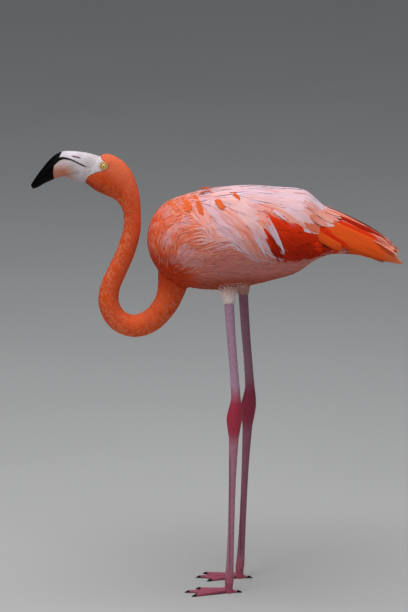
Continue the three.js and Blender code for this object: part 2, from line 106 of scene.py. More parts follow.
NECK_LINE = [                           # x, z, radius, from the head to inside the breast
    (-150.5, 690, 15), (-151.5, 660, 15.3), (-162, 622, 16), (-178, 585, 16.6),
    (-191, 554, 17.2), (-193, 524, 18), (-178, 496, 18.8), (-149, 484, 19.7),
    (-119, 493, 20.2), (-95.5, 517, 21), (-82, 546, 24), (-73, 590, 31),
]
HEAD_LINE = [(-232, 772), (-212, 768), (-190, 757), (-172, 738), (-158, 714)]   # bill base to neck

# Edge of the bare face, where the feathers begin: z, x.
FACE_EDGE = [(735, -245), (750, -238), (756, -233), (762, -226), (768, -214), (771, -202),
             (774.5, -194.5), (779, -193), (783, -194.5), (786.5, -199), (789, -204), (795, -208),
             (801, -210), (812, -212)]

# ---------------------------------------------------------------- colours


def srgb(code):
    """The linear colour of a hex code."""
    value = np.array([int(code[i:i + 2], 16) for i in (1, 3, 5)]) / 255
    return np.where(value <= 0.04045, value / 12.92, ((value + 0.055) / 1.055) ** 2.4)


VERMILION = srgb("#ef5a20")
NECK_PALE = srgb("#f39c7c")
NECK_DEEP = srgb("#c63a0e")
SALMON = srgb("#ea7b5e")
SALMON_PALE = srgb("#f0a896")
BACK_PINK = srgb("#e2cddc")
LILAC_PINK = srgb("#dca9b2")
VIVID_RED = srgb("#e2330a")
DEEP_RED = srgb("#a51c06")
ORANGE = srgb("#e4642f")
QUILL_ORANGE = srgb("#ec581c")
PEACH = srgb("#ffb48a")
FLANK_MAUVE = srgb("#cb7a73")
# Rose of the belly, darkened further with painted shade of the underside.
BELLY_ROSE_AND_SHADE = srgb("#ab4c35")
BLUSH = srgb("#ffece8")
# Painted shade: the thigh's pale pink darkened as if it stood in shadow.
THIGH_PAINTED_SHADE = srgb("#c99a90")
# Black of flight feathers and claws; on the wings it also stands in as painted shadow in the gap between them.
QUILL_BLACK = srgb("#17110f")
FACE_WHITE = srgb("#d0c6c8")
LID_YELLOW = srgb("#c9ad5e")
LID_OCHRE = srgb("#bd8a48")
BILL_WHITE = srgb("#d9d0d8")
BILL_ROSE = srgb("#cc846c")
BILL_GREY = srgb("#c2b3aa")
# Painted shade in the crease of a fold at the lower bill's base.
BILL_FOLD_SHADE = srgb("#8f7a6e")
BILL_BLACK = srgb("#020202")
NOSTRIL = srgb("#6d3a40")
IRIS = srgb("#f0e27a")
IRIS_RIM = srgb("#a8862c")
PUPIL = srgb("#080707")
SHANK_LILAC = srgb("#b88fa8")
HOCK_CRIMSON = srgb("#b02a44")
TARSUS_MAUVE = srgb("#b4788b")
FOOT_CRIMSON = srgb("#a84c64")
LEG_WINE = srgb("#6e2440")
CLAW_BROWN = srgb("#2a2024")


# ---------------------------------------------------------------- small helpers


def smoothstep(low, high, value):
    share = np.clip((value - low) / (high - low), 0, 1)
    return share * share * (3 - 2 * share)


def mix(first, second, share):
    """Blend of two colours (or arrays of them) by a share for each point."""
    share = np.asarray(share)[..., None]
    return first * (1 - share) + second * share


def normalised(vectors):
    length = np.linalg.norm(vectors, axis=-1, keepdims=True)
    return vectors / np.maximum(length, 1e-12)


def smooth_rows(rows, count):
    """Catmull-Rom rows through the given ones, evenly spread over them."""
    rows = np.asarray(rows, float)
    before = np.vstack([2 * rows[0] - rows[1], rows, 2 * rows[-1] - rows[-2]])
    place = np.linspace(0, len(rows) - 1, count)
    index = np.minimum(place.astype(int), len(rows) - 2)
    t = (place - index)[:, None]
    p0, p1, p2, p3 = (before[index + k] for k in range(4))
    return 0.5 * (2 * p1 + (p2 - p0) * t + (2 * p0 - 5 * p1 + 4 * p2 - p3) * t ** 2
                  + (3 * p1 - p0 - 3 * p2 + p3) * t ** 3)


def signed_volume(points, triangles):
    a, b, c = (points[triangles[:, k]] for k in range(3))
    return np.einsum("ij,ij->i", a, np.cross(b, c)).sum() / 6


def make_mesh(name, points, triangles, colours=None, maps=None, normals=None):
    """A smooth-shaded object of triangles, with colours and shading normals for each point, and UV maps."""
    if signed_volume(points, triangles) < 0:
        triangles = triangles[:, ::-1]
        maps = {key: value[:, ::-1] for key, value in (maps or {}).items()}
    mesh = bpy.data.meshes.new(name)
    mesh.vertices.add(len(points))
    mesh.vertices.foreach_set("co", np.ascontiguousarray(points, np.float32).ravel())
    mesh.loops.add(triangles.size)
    mesh.loops.foreach_set("vertex_index", np.ascontiguousarray(triangles, np.int32).ravel())
    mesh.polygons.add(len(triangles))
    mesh.polygons.foreach_set("loop_start", np.arange(0, triangles.size, 3, dtype=np.int32))
    mesh.polygons.foreach_set("use_smooth", np.ones(len(triangles), bool))
    for key, value in (maps or {}).items():
        layer = mesh.uv_layers.new(name=key)
        layer.uv.foreach_set("vector", np.ascontiguousarray(value, np.float32).ravel())
    if colours is not None:
        layer = mesh.attributes.new("marking", "FLOAT_COLOR", "POINT")
        rgba = np.ones((len(points), 4), np.float32)
        rgba[:, :3] = colours
        layer.data.foreach_set("color", rgba.ravel())
    mesh.update(calc_edges=True)
    if normals is not None:
        mesh.normals_split_custom_set_from_vertices(normals.astype(np.float32))
    obj = bpy.data.objects.new(name, mesh)
    bpy.context.scene.collection.objects.link(obj)
    return obj


def mesh_arrays(mesh):
    """Points, triangles and point normals of a mesh."""
    points = np.empty(len(mesh.vertices) * 3, np.float32)
    mesh.vertices.foreach_get("co", points)
    normals = np.empty(len(mesh.vertices) * 3, np.float32)
    mesh.vertex_normals.foreach_get("vector", normals)
    mesh.calc_loop_triangles()
    triangles = np.empty(len(mesh.loop_triangles) * 3, np.int32)
    mesh.loop_triangles.foreach_get("vertices", triangles)
    return (points.reshape(-1, 3).astype(float), triangles.reshape(-1, 3),
            normals.reshape(-1, 3).astype(float))


def ring_loft(rings, closed=True):
    """Points and triangles of a loft through rings of equal size, capped at both ends."""
    rings = np.asarray(rings, float)
    count, sides = rings.shape[:2]
    here = (np.arange(count - 1)[:, None] * sides + np.arange(sides)).ravel()
    beside = (np.arange(count - 1)[:, None] * sides + (np.arange(sides) + 1) % sides).ravel()
    faces = [np.stack([here, beside, beside + sides], 1), np.stack([here, beside + sides, here + sides], 1)]
    points = [rings.reshape(-1, 3)]
    if closed:
        around = np.arange(sides)
        following = (around + 1) % sides
        first = np.full(sides, count * sides)
        last = (count - 1) * sides
        faces.append(np.stack([first, following, around], 1))
        faces.append(np.stack([first + 1, last + around, last + following], 1))
        points.append(np.stack([rings[0].mean(0), rings[-1].mean(0)]))
    return np.vstack(points), np.vstack(faces)


def point_normals(points, triangles):
    face = np.cross(points[triangles[:, 1]] - points[triangles[:, 0]],
                    points[triangles[:, 2]] - points[triangles[:, 0]])
    normals = np.zeros_like(points)
    for corner in range(3):
        np.add.at(normals, triangles[:, corner], face)
    return normalised(normals)


def combined(parts):
    """Several (points, triangles, colours) as one."""
    offset = 0
    faces = []
    for points, triangles, _ in parts:
        faces.append(triangles + offset)
        offset += len(points)
    return np.vstack([part[0] for part in parts]), np.vstack(faces), np.vstack([part[2] for part in parts])


def voxel_union(name, parts, voxel, smoothing):
    """One smooth closed mesh round several overlapping closed ones; its points, triangles, normals."""
    blank = np.zeros((1, 3))
    points, triangles, _ = combined([(p, t, blank) for p, t in parts])
    obj = make_mesh(name, points, triangles)
    remesh = obj.modifiers.new("union", "REMESH")
    remesh.mode = "VOXEL"
    remesh.voxel_size = voxel
    if smoothing:
        smooth = obj.modifiers.new("smooth", "SMOOTH")
        smooth.factor = 0.5
        smooth.iterations = smoothing
    bpy.context.view_layer.update()
    mesh = bpy.data.meshes.new_from_object(obj.evaluated_get(bpy.context.evaluated_depsgraph_get()))
    arrays = mesh_arrays(mesh)
    bpy.data.objects.remove(obj)
    return arrays


def node_arrays(name, grow=0.0):
    """A CAD node's surface as points and triangles, with shared corners merged, pushed out by grow."""
    work = bmesh.new()
    work.from_mesh(nodes[name].data)
    bmesh.ops.remove_doubles(work, verts=work.verts, dist=1e-5)
    bmesh.ops.triangulate(work, faces=work.faces)
    work.normal_update()
    for vert in work.verts:
        vert.co += vert.normal * grow
    points = np.array([vert.co for vert in work.verts], float)
    work.verts.index_update()
    triangles = np.array([[vert.index for vert in face.verts] for face in work.faces], int)
    work.free()
    return points, triangles


# ---------------------------------------------------------------- forms of head, neck and legs


def section_rings(rows, sides, grow=0.0):
    """Ovals (in metres) through rows of top, bottom and half width, pushed out by grow (mm)."""
    top, bottom, half_width = rows[:, 0:2], rows[:, 2:4], rows[:, 4]
    centre = (top + bottom) / 2
    up = (top - bottom) / 2
    height = np.linalg.norm(up, axis=1)
    up = up * ((height + grow) / height)[:, None]
    angle = 2 * np.pi * np.arange(sides) / sides
    rings = np.zeros((len(rows), sides, 3))
    rings[:, :, 0] = centre[:, None, 0] + up[:, None, 0] * np.cos(angle)
    rings[:, :, 2] = centre[:, None, 1] + up[:, None, 1] * np.cos(angle)
    rings[:, :, 1] = (half_width + grow)[:, None] * np.sin(angle)
    return rings * MM


def neck_rows(count):
    """Section rows down the neck, square to its middle line."""
    line = smooth_rows(NECK_LINE, count)
    along = normalised(np.gradient(line[:, :2], axis=0))
    back = np.stack([-along[:, 1], along[:, 0]], 1) * line[:, 2:3]
    centre = line[:, :2]
    return np.hstack([centre + back, centre - back, line[:, 2:3]])


def head_rows(count):
    first_neck = neck_rows(200)[:1]
    return smooth_rows(np.vstack([HEAD_SECTIONS, first_neck]), count)


def leg_rings(side, count, sides):
    """Rings down one leg from under the belly to the ankle, read off the frame's own leg nodes."""
    points = np.vstack([node_arrays(f"{part}_{side}")[0] for part in ("thigh", "shank", "hock", "tarsus")])
    points = points[points[:, 2] < 0.590]
    levels = np.unique(np.round(points[:, 2], 4))
    rows = []
    for level in levels:
        ring = points[np.abs(points[:, 2] - level) < 1e-4]
        if len(ring) < 8:
            continue
        low, high = ring.min(0), ring.max(0)
        decagon = math.sin(math.radians(72))
        rows.append([level, (low[0] + high[0]) / 2, (low[1] + high[1]) / 2,
                     (high[0] - low[0]) / 2, (high[1] - low[1]) / 2 / decagon])
    rows = np.array(rows)
    heights = np.linspace(rows[-1, 0], rows[0, 0], count)
    values = np.stack([np.interp(heights, rows[:, 0], rows[:, k]) for k in range(1, 5)], 1)
    kernel = np.hanning(9) / np.hanning(9).sum()
    padded = np.pad(values, ((4, 4), (0, 0)), "edge")
    values = np.stack([np.convolve(padded[:, k], kernel, "valid") for k in range(4)], 1)
    angle = 2 * np.pi * np.arange(sides) / sides
    rings = np.zeros((count, sides, 3))
    rings[:, :, 0] = values[:, None, 0] - values[:, None, 2] * np.cos(angle)
    rings[:, :, 1] = values[:, None, 1] + values[:, None, 3] * np.sin(angle)
    rings[:, :, 2] = heights[:, None]
    return rings


def flared(rings):
    """Leg rings with the thigh widened towards the belly, as its loose feathers are."""
    centres = rings.mean(1, keepdims=True)
    swell = 1 + THIGH_FLARE * smoothstep(0.530, 0.570, centres[..., 2:3])
    rings = centres + (rings - centres) * swell
    return np.concatenate([rings[:1] + np.array([0, 0, THIGH_ROOT * MM]), rings])


# ---------------------------------------------------------------- surfaces that feathers follow


class Guide:
    """A surface of the coat: finds the nearest place on it and the smooth normal there."""

    def __init__(self, points, triangles, normals=None):
        if signed_volume(points, triangles) < 0:
            triangles = triangles[:, ::-1]
        normals = point_normals(points, triangles) if normals is None else normals
        self.points = points
        self.triangles = triangles
        self.centres = points[triangles].mean(1)
        self.normals = normalised(normals[triangles].mean(1))
        self.areas = np.linalg.norm(np.cross(points[triangles[:, 1]] - points[triangles[:, 0]],
                                             points[triangles[:, 2]] - points[triangles[:, 0]]), axis=1) / 2
        self.tree = BVHTree.FromPolygons(points.tolist(), triangles.tolist())

    def nearest(self, places):
        found = [self.tree.find_nearest(place) for place in places.tolist()]
        spots = np.array([item[0] for item in found])
        faces = np.array([item[2] for item in found])
        return spots, self.normals[faces]

    def depth(self, places):
        """How far inside the surface the places lie, negative outside."""
        spots, normals = self.nearest(places)
        return -np.einsum("ij,ij->i", places - spots, normals)


def scatter(guide, keep, spacing, random):
    """Roots spread evenly over the part of a guide that keep accepts; spacing is a length or a function."""
    wanted = keep(guide.centres, guide.normals)
    areas = np.where(wanted, guide.areas, 0)
    gap = spacing if callable(spacing) else (lambda places: np.full(len(places), spacing))
    density = areas / gap(guide.centres) ** 2
    count = int(density.sum() * 4)
    faces = random.choice(len(areas), count, p=density / density.sum())
    corner = random.random((count, 2))
    flip = corner.sum(1) > 1
    corner[flip] = 1 - corner[flip]
    a, b, c = (guide.points[guide.triangles[faces, k]] for k in range(3))
    places = a + (b - a) * corner[:, :1] + (c - a) * corner[:, 1:]
    tree = KDTree(count)
    for index, place in enumerate(places.tolist()):
        tree.insert(place, index)
    tree.balance()
    reach = gap(places)
    alive = np.ones(count, bool)
    chosen = []
    for index, place in enumerate(places.tolist()):
        if alive[index]:
            chosen.append(index)
            for _, other, _ in tree.find_range(place, reach[index]):
                alive[other] = False
    return places[chosen], guide.normals[faces[chosen]]


# ---------------------------------------------------------------- lie of the coat

# Side view of the trunk: x, z and the direction in which the feathers there point, in degrees up from
# the way to the tail.
BODY_LIE = [
    (-118, 655, 88), (-112, 690, 66), (-92, 712, 40), (-68, 726, 6), (-100, 620, 80), (-84, 585, 60),
    (-80, 655, 62), (-62, 668, 40), (-76, 690, 42), (-56, 686, -20), (-42, 708, -76), (-34, 672, 14),
    (-18, 699, -72), (-16, 674, -74), (-10, 650, 24), (15, 642, 22), (20, 615, 8), (-55, 610, 30),
    (-30, 580, 8), (40, 590, 2), (110, 600, 6), (170, 625, 20), (215, 645, 24), (12, 700, -52),
    (41, 657, -56), (52, 700, -52), (72, 641, -52), (92, 610, -20), (82, 700, -44), (111, 700, -40),
    (111, 650, -52), (-36, 733, -30), (2, 735, -14), (30, 722, -42), (60, 722, -34), (72, 738, -8),
    (111, 722, -26), (142, 708, -33), (140, 733, -14), (180, 713, -34), (200, 690, -36),
    (230, 660, -33), (290, 625, -33), (150, 650, -40), (200, 650, -34),
]
LIE_REACH = 11                          # mm within which one entry rules


def body_lie(places, normals):
    """Unit directions along the coat at places on the trunk."""
    table = np.array(BODY_LIE, float)
    offset = places[:, None, [0, 2]] / MM - table[None, :, :2]
    weight = 1 / ((offset ** 2).sum(2) + LIE_REACH ** 2) ** 1.7
    angle = np.radians(table[:, 2])
    flat = np.zeros_like(places)
    flat[:, 0] = weight @ np.cos(angle)
    flat[:, 2] = weight @ np.sin(angle)
    return along_surface(normalised(flat), normals)


def along_surface(directions, normals):
    return normalised(directions - np.einsum("ij,ij->i", directions, normals)[:, None] * normals)


class MiddleLine:
    """The line down the head and neck, with places on it from 0 at the bill to 1 inside the breast."""

    def __init__(self):
        corners = np.array([(x, z) for x, z in HEAD_LINE] + [(x, z) for x, z, _ in NECK_LINE], float)
        self.points = smooth_rows(corners, 260) * MM
        self.tangents = normalised(np.gradient(self.points, axis=0))
        steps = np.linalg.norm(np.diff(self.points, axis=0), axis=1)
        travelled = np.concatenate([[0], np.cumsum(steps)])
        self.length = travelled[-1]
        self.shares = travelled / travelled[-1]
        self.neck_start = self.shares[np.argmin(np.abs(self.points[:, 1] - 0.690)
                                                + np.abs(self.points[:, 0] + 0.1505))]

    def nearest(self, places):
        offset = places[:, None, [0, 2]] - self.points[None]
        return (offset ** 2).sum(2).argmin(1)

    def share(self, places):
        return self.shares[self.nearest(places)]

    def lie(self, places, normals):
        flat = np.zeros_like(places)
        flat[:, [0, 2]] = self.tangents[self.nearest(places)]
        return along_surface(flat, normals)

    def throat_side(self, places):
        """1 along the throat and -1 along the nape."""
        index = self.nearest(places)
        offset = normalised(places - np.insert(self.points[index], 1, 0, axis=1))
        return offset[:, 0] * self.tangents[index, 1] - offset[:, 2] * self.tangents[index, 0]

    def unwrap(self, places):
        """Place on the neck unrolled: along its length, and round it from the throat's side."""
        index = self.nearest(places)
        offset = places[:, [0, 2]] - self.points[index]
        back = offset[:, 0] * -self.tangents[index, 1] + offset[:, 1] * self.tangents[index, 0]
        around = np.arctan2(places[:, 1], -back)
        return np.stack([0.02 + 0.96 * self.shares[index], 0.5 + 0.48 * around / np.pi], 1)


BODY_AXIS_HEIGHT = 0.645
BODY_SPAN = (-0.13, 0.34)


def unwrap_body(places):
    """Place on the trunk unrolled: from breast to tail, and round it from the belly."""
    along = (places[:, 0] - BODY_SPAN[0]) / (BODY_SPAN[1] - BODY_SPAN[0])
    around = np.arctan2(places[:, 1], BODY_AXIS_HEIGHT - places[:, 2])
    return np.stack([0.02 + 0.96 * np.clip(along, 0, 1), 0.5 + 0.48 * around / np.pi], 1)


# ---------------------------------------------------------------- building vanes

# Cross sections of a vane: place across (-1 to 1) and layer (1 top, -1 bottom).
TUFT_SECTION = np.array([(-1, 0), (0, 1), (1, 0)], float)
VANE_SECTION = np.array([(-1, 0), (-0.5, 0.6), (0, 1), (0.5, 0.6), (1, 0), (0.5, -0.6), (0, -0.6),
                         (-0.5, -0.6)])


def contour_outline(share):
    """Rounded oblong, as on small body feathers."""
    return np.clip(np.sin(np.pi * np.clip(share, 0, 1) ** 0.8), 0, 1) ** 0.6


def lance_outline(share):
    """Long feather, widest early and drawn out to a point."""
    return np.clip(share ** 0.45 * (1 - share) ** 0.55 * 1.75, 0, 1)


def drop_outline(share):
    """Wedge: thin at the root, broadest near the end."""
    return np.clip(share ** 1.1 * (1 - share) ** 0.5 * 2.3, 0, 1)


def quill_outline(share):
    """Flight feather: full width for most of its length, then a rounded point."""
    return smoothstep(0, 0.25, share) * np.clip((1 - share) / 0.30, 0, 1) ** 0.55


ROUNDING = 0.22                         # how far shading turns from the coat's normal at a vane's edges


class Coat:
    """Gathers vanes, and makes one object of them."""

    def __init__(self, name, unwrap):
        self.name = name
        self.unwrap = unwrap
        self.points, self.triangles, self.colours, self.patches, self.vanes = [], [], [], [], []
        self.normals = []
        self.count = 0

    def add(self, spines, normals, half_widths, section, thickness, camber, base, tip, turn_at=0.55,
            ragged=0.0, random=None):
        """Vanes along spines (feathers, steps, 3); base and tip are colours for each feather."""
        feathers, steps = spines.shape[:2]
        along = normalised(np.gradient(spines, axis=1))
        across = normalised(np.cross(along, normals))
        upward = np.cross(across, along)
        share = np.linspace(0, 1, steps)
        inner = slice(1, steps - 1)
        place, layer = section[:, 0], section[:, 1]
        width = half_widths[:, inner, None] * place
        if ragged:
            width = width * (1 + ragged * random.uniform(-1, 1, width.shape) * np.abs(place))
        rise = (camber * half_widths[:, inner, None] * (1 - place ** 2) + thickness / 2 * layer)
        rings = (spines[:, inner, None] + across[:, inner, None] * width[..., None]
                 + upward[:, inner, None] * rise[..., None])
        sides = len(section)
        ring_count = steps - 2
        body = np.concatenate([spines[:, :1], rings.reshape(feathers, -1, 3), spines[:, -1:]], 1)
        per_feather = body.shape[1]
        around = np.arange(sides)
        following = (around + 1) % sides
        faces = [np.stack([np.zeros(sides, int), 1 + following, 1 + around], 1)]
        for ring in range(ring_count - 1):
            here = 1 + ring * sides
            faces.append(np.stack([here + around, here + following, here + sides + following], 1))
            faces.append(np.stack([here + around, here + sides + following, here + sides + around], 1))
        last = 1 + (ring_count - 1) * sides
        end = np.full(sides, per_feather - 1)
        faces.append(np.stack([last + around, last + following, end], 1))
        faces = np.vstack(faces)
        along_share = np.concatenate([[0], np.repeat(share[inner], sides), [1]])
        across_share = np.concatenate([[0], np.tile(place, ring_count), [0]])
        blend = smoothstep(turn_at - 0.3, turn_at + 0.3, along_share)
        colours = base[:, None] * (1 - blend)[:, None] + tip[:, None] * blend[:, None]
        roots = self.unwrap(spines[:, 0])
        local = np.stack([along_share - 0.5, across_share / 2], 1) * PATCH
        offsets = self.count + np.arange(feathers) * per_feather
        self.count += feathers * per_feather
        self.points.append(body.reshape(-1, 3))
        facing = normals[:, inner, None] * np.where(layer < 0, -1, 1)[:, None]
        facing = facing + ROUNDING * across[:, inner, None] * place[:, None]
        facing = np.concatenate([normals[:, :1], facing.reshape(feathers, -1, 3), normals[:, -1:]], 1)
        self.normals.append(normalised(facing).reshape(-1, 3))
        self.triangles.append((faces[None] + offsets[:, None, None]).reshape(-1, 3))
        self.colours.append(colours.reshape(-1, 3))
        self.patches.append((roots[:, None] + local[None]).reshape(-1, 2))
        shade = random.random(feathers)[:, None] if random is not None else np.zeros((feathers, 1))
        vane = np.stack([across_share[None] / 2 + 0.5 + 3 * np.floor(shade * 97),
                         along_share[None] + 0 * shade], 2)
        self.vanes.append(vane.reshape(-1, 2))

    def finish(self, material):
        points = np.vstack(self.points)
        triangles = np.vstack(self.triangles)
        patches = np.vstack(self.patches)
        vanes = np.vstack(self.vanes)
        maps = {"OFBake": patches[triangles], "vane": vanes[triangles]}
        obj = make_mesh(self.name, points, triangles, np.vstack(self.colours), maps,
                        np.vstack(self.normals))
        obj.data.materials.append(material)
        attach(obj, "root")
        print(f"{self.name}: {len(triangles)} triangles")
        return obj


def march(guide, roots, lie, lengths, steps, swerve=None):
    """Spines that start at the roots and follow the lie over the guide; their places and normals."""
    spots, normals = guide.nearest(roots)
    spines, tops = [spots], [normals]
    for step in range(steps - 1):
        heading = lie(spots, normals)
        if swerve is not None:
            sideways = np.cross(heading, normals)
            turn = (swerve * (step / (steps - 1)))[:, None]
            heading = normalised(heading + sideways * turn)
        spots, normals = guide.nearest(spots + heading * (lengths / (steps - 1))[:, None])
        spines.append(spots)
        tops.append(normals)
    return np.stack(spines, 1), np.stack(tops, 1)


def raised(spines, normals, root_depth, tip_height, ease=0.8):
    """Spines sunk by root_depth at the root and raised by tip_height at the tip (lengths or arrays)."""
    share = np.linspace(0, 1, spines.shape[1]) ** ease
    root_depth = np.broadcast_to(root_depth, len(spines))[:, None]
    tip_height = np.broadcast_to(tip_height, len(spines))[:, None]
    height = -root_depth + (root_depth + tip_height) * share
    return spines + normals * height[..., None]


# ---------------------------------------------------------------- materials


class Shading:
    """A node material under construction, with its Principled shader."""

    def __init__(self, name, roughness, **settings):
        self.material = bpy.data.materials.new(name)
        self.material.use_nodes = True
        self.nodes = self.material.node_tree.nodes
        self.links = self.material.node_tree.links
        self.shader = self.nodes["Principled BSDF"]
        self.shader.inputs["Roughness"].default_value = roughness
        for key, value in settings.items():
            self.shader.inputs[key.replace("_", " ")].default_value = value

    def node(self, kind, **values):
        node = self.nodes.new(kind)
        for key, value in values.items():
            if key in node.inputs:
                node.inputs[key].default_value = value
            else:
                setattr(node, key, value)
        return node

    def link(self, source, target):
        self.links.new(source, target)

    def noise(self, vector, scale, detail=3.0):
        node = self.node("ShaderNodeTexNoise", Scale=scale, Detail=detail)
        self.link(vector, node.inputs["Vector"])
        return node.outputs["Fac"]

    def stretched(self, vector, scale):
        node = self.node("ShaderNodeMapping")
        node.inputs["Scale"].default_value = scale
        self.link(vector, node.inputs["Vector"])
        return node.outputs["Vector"]

    def ranged(self, value, low, high, source=(0.3, 0.7)):
        node = self.node("ShaderNodeMapRange")
        node.inputs["From Min"].default_value, node.inputs["From Max"].default_value = source
        node.inputs["To Min"].default_value, node.inputs["To Max"].default_value = low, high
        self.link(value, node.inputs["Value"])
        return node.outputs["Result"]

    def tinted(self, colour, value):
        """The colour made lighter or darker by a value near 1."""
        node = self.node("ShaderNodeVectorMath", operation="SCALE")
        self.link(colour, node.inputs[0])
        self.link(value, node.inputs["Scale"])
        return node.outputs["Vector"]

    def bump(self, height, strength, distance):
        node = self.node("ShaderNodeBump", Strength=strength, Distance=distance)
        self.link(height, node.inputs["Height"])
        self.link(node.outputs["Normal"], self.shader.inputs["Normal"])

    def marking(self):
        return self.node("ShaderNodeAttribute", attribute_name="marking").outputs["Color"]


def feather_material(name, streak, barb_scale, sheen):
    """Vane with streaks along it and fine barbs across; the markings come from the mesh."""
    shading = Shading(name, 0.8, Sheen_Weight=sheen, Sheen_Roughness=0.5, Specular_IOR_Level=0.08)
    vane = shading.node("ShaderNodeUVMap", uv_map="vane").outputs["UV"]
    streaks = shading.noise(shading.stretched(vane, (7.0, 0.9, 1.0)), 1.0)
    barbs = shading.noise(shading.stretched(vane, (barb_scale, barb_scale * 0.35, 1.0)), 1.0, 1.0)
    light = shading.ranged(streaks, 1 - streak, 1 + streak * 0.8)
    colour = shading.tinted(shading.marking(), light)
    shading.link(colour, shading.shader.inputs["Base Color"])
    shading.bump(barbs, 0.35, 0.0004)
    return shading.material


def skin_material():
    """Bare and feathered skin: fine pores on the face, small scales down the legs."""
    shading = Shading("skin", 0.5, Specular_IOR_Level=0.4)
    place = shading.node("ShaderNodeTexCoord").outputs["Object"]
    mottling = shading.ranged(shading.noise(place, 160.0), 0.86, 1.1)
    shading.link(shading.tinted(shading.marking(), mottling), shading.shader.inputs["Base Color"])
    scales = shading.node("ShaderNodeTexVoronoi", Scale=420.0, feature="DISTANCE_TO_EDGE")
    shading.link(place, scales.inputs["Vector"])
    shading.bump(scales.outputs["Distance"], 0.35, 0.0006)
    return shading.material


def horn_material(name, roughness, grain):
    """Keratin with a fine grain and a soft gloss."""
    shading = Shading(name, roughness, Specular_IOR_Level=0.07)
    place = shading.node("ShaderNodeTexCoord").outputs["Object"]
    growth = shading.noise(shading.stretched(place, (60.0, 320.0, 220.0)), 1.0)
    cloud = shading.ranged(shading.noise(place, 90.0), 1 - grain, 1 + grain * 0.5)
    shading.link(shading.tinted(shading.marking(), cloud), shading.shader.inputs["Base Color"])
    shading.bump(growth, 0.3, 0.0003)
    return shading.material


def eye_material():
    """Wet eyeball with fine spokes in the iris."""
    shading = Shading("eye_gloss", 0.08, Coat_Weight=0.6, Coat_Roughness=0.03)
    place = shading.node("ShaderNodeTexCoord").outputs["Object"]
    spokes = shading.ranged(shading.noise(place, 1400.0, 2.0), 0.82, 1.12)
    shading.link(shading.tinted(shading.marking(), spokes), shading.shader.inputs["Base Color"])
    return shading.material


FLOOR_GREYS = (0.50, 0.54)


def floor_material():
    """Plain pale floor with hardly any mottling."""
    shading = Shading("studio_floor", 0.9, Specular_IOR_Level=0.1)
    place = shading.node("ShaderNodeTexCoord").outputs["Object"]
    tone = shading.node("ShaderNodeValToRGB")
    for stop, grey in zip(tone.color_ramp.elements, FLOOR_GREYS):
        stop.color = (grey, grey, grey, 1)
    shading.link(shading.noise(place, 1.5), tone.inputs["Fac"])
    shading.link(tone.outputs["Color"], shading.shader.inputs["Base Color"])
    return shading.material


# ---------------------------------------------------------------- markings


def drift(places, size, seed):
    """Smooth random waves over the coat, mostly between -1 and 1; size is their length."""
    random = np.random.default_rng(seed)
    waves = normalised(random.normal(0, 1, (12, 3))) * random.uniform(0.6, 1.5, (12, 1)) * 2 * np.pi / size
    return np.cos(places @ waves.T + random.uniform(0, 2 * np.pi, 12)).sum(1) / 3.2


# Outlines of markings, as seen from the side and from VIEW_ELEVATION above: (x, height) in millimetres.
VIVID_PATCH = [(76, 702), (92, 695), (110, 677), (126, 668), (135, 672), (148, 663), (163, 656), (176, 649),
               (190, 655), (189, 664), (200, 662), (214, 668), (230, 665), (221, 680), (204, 694), (214, 700),
               (250, 685), (345, 625), (345, 590), (262, 590), (250, 618), (212, 623), (190, 617), (160, 607),
               (126, 598), (112, 600), (124, 612), (119, 625), (111, 640), (104, 651), (95, 667), (84, 684)]
RED_WEDGE = [(76, 674), (86, 655), (96, 642), (106, 632), (117, 623), (126, 614), (130, 604), (118, 599),
             (104, 602), (98, 611), (91, 625), (84, 638), (78, 653)]

BANDS = [                               # place along the back (mm) and colour, for the long feathers
    (-62, SALMON), (-46, SALMON_PALE), (-34, SALMON), (-22, SALMON_PALE), (-12, LILAC_PINK),
    (6, LILAC_PINK), (18, SALMON_PALE), (30, SALMON), (42, SALMON_PALE), (52, BACK_PINK),
    (62, SALMON_PALE), (76, SALMON), (84, SALMON_PALE), (92, LILAC_PINK), (104, SALMON), (122, SALMON_PALE),
    (138, BACK_PINK), (154, SALMON_PALE), (170, SALMON), (184, SALMON_PALE), (200, SALMON),
]


def is_bare_face(places):
    edge = np.array(FACE_EDGE, float) * MM
    return places[:, 0] < np.interp(places[:, 2], edge[:, 0], edge[:, 1])


def body_markings(places):
    """Ground colour of the plumage of trunk and wings at places on it, with painted shade low on the breast and
    belly.
    """
    x, z = places[:, 0] / MM, places[:, 2] / MM
    colour = np.tile(SALMON, (len(places), 1))
    colour = mix(colour, VERMILION, 0.8 * smoothstep(-74, -110, x))
    # Deeper colour with painted shade: the breast darker towards its front and its bottom.
    colour = mix(colour, NECK_DEEP, 0.26 * smoothstep(-10, -60, x) * smoothstep(715, 690, z))
    colour = mix(colour, NECK_DEEP, 0.32 * smoothstep(640, 600, z) * smoothstep(-40, -80, x))
    colour = mix(colour, LILAC_PINK, 0.55 * smoothstep(-0.1, 0.8, drift(places, 0.034, 5)) *
                 smoothstep(-116, -84, x))
    colour = mix(colour, FLANK_MAUVE, 0.85 * smoothstep(652, 622, z) * smoothstep(-70, -10, x))
    # Painted shade with deeper colour: the belly darker below, and the breast where it overhangs the neck's base.
    colour = mix(colour, BELLY_ROSE_AND_SHADE, smoothstep(600, 570, z) * smoothstep(-100, -50, x))
    colour = mix(colour, NECK_DEEP, smoothstep(66, 30, np.hypot(x + 94, z - 572)))
    crown = np.exp(-((x + 80) / 24) ** 2 - ((z - 708) / 13) ** 2)
    colour = mix(colour, ORANGE, 0.8 * crown * smoothstep(-0.3, 0.4, drift(places, 0.020, 6)))
    colour = mix(colour, BACK_PINK, smoothstep(700, 726, z) * smoothstep(-52, -10, x))
    patch = vivid(places)
    colour = mix(colour, VIVID_RED, patch)
    deep = smoothstep(676, 625, z) * smoothstep(230, 190, x)
    return mix(colour, DEEP_RED, patch * deep * 0.8)


def seen_from_side(places):
    """Places as seen from the side and from VIEW_ELEVATION above: x and height, in millimetres."""
    drop = np.abs(places[..., 1]) * math.tan(VIEW_ELEVATION)
    return places[..., 0] / MM, (places[..., 2] - drop) / MM


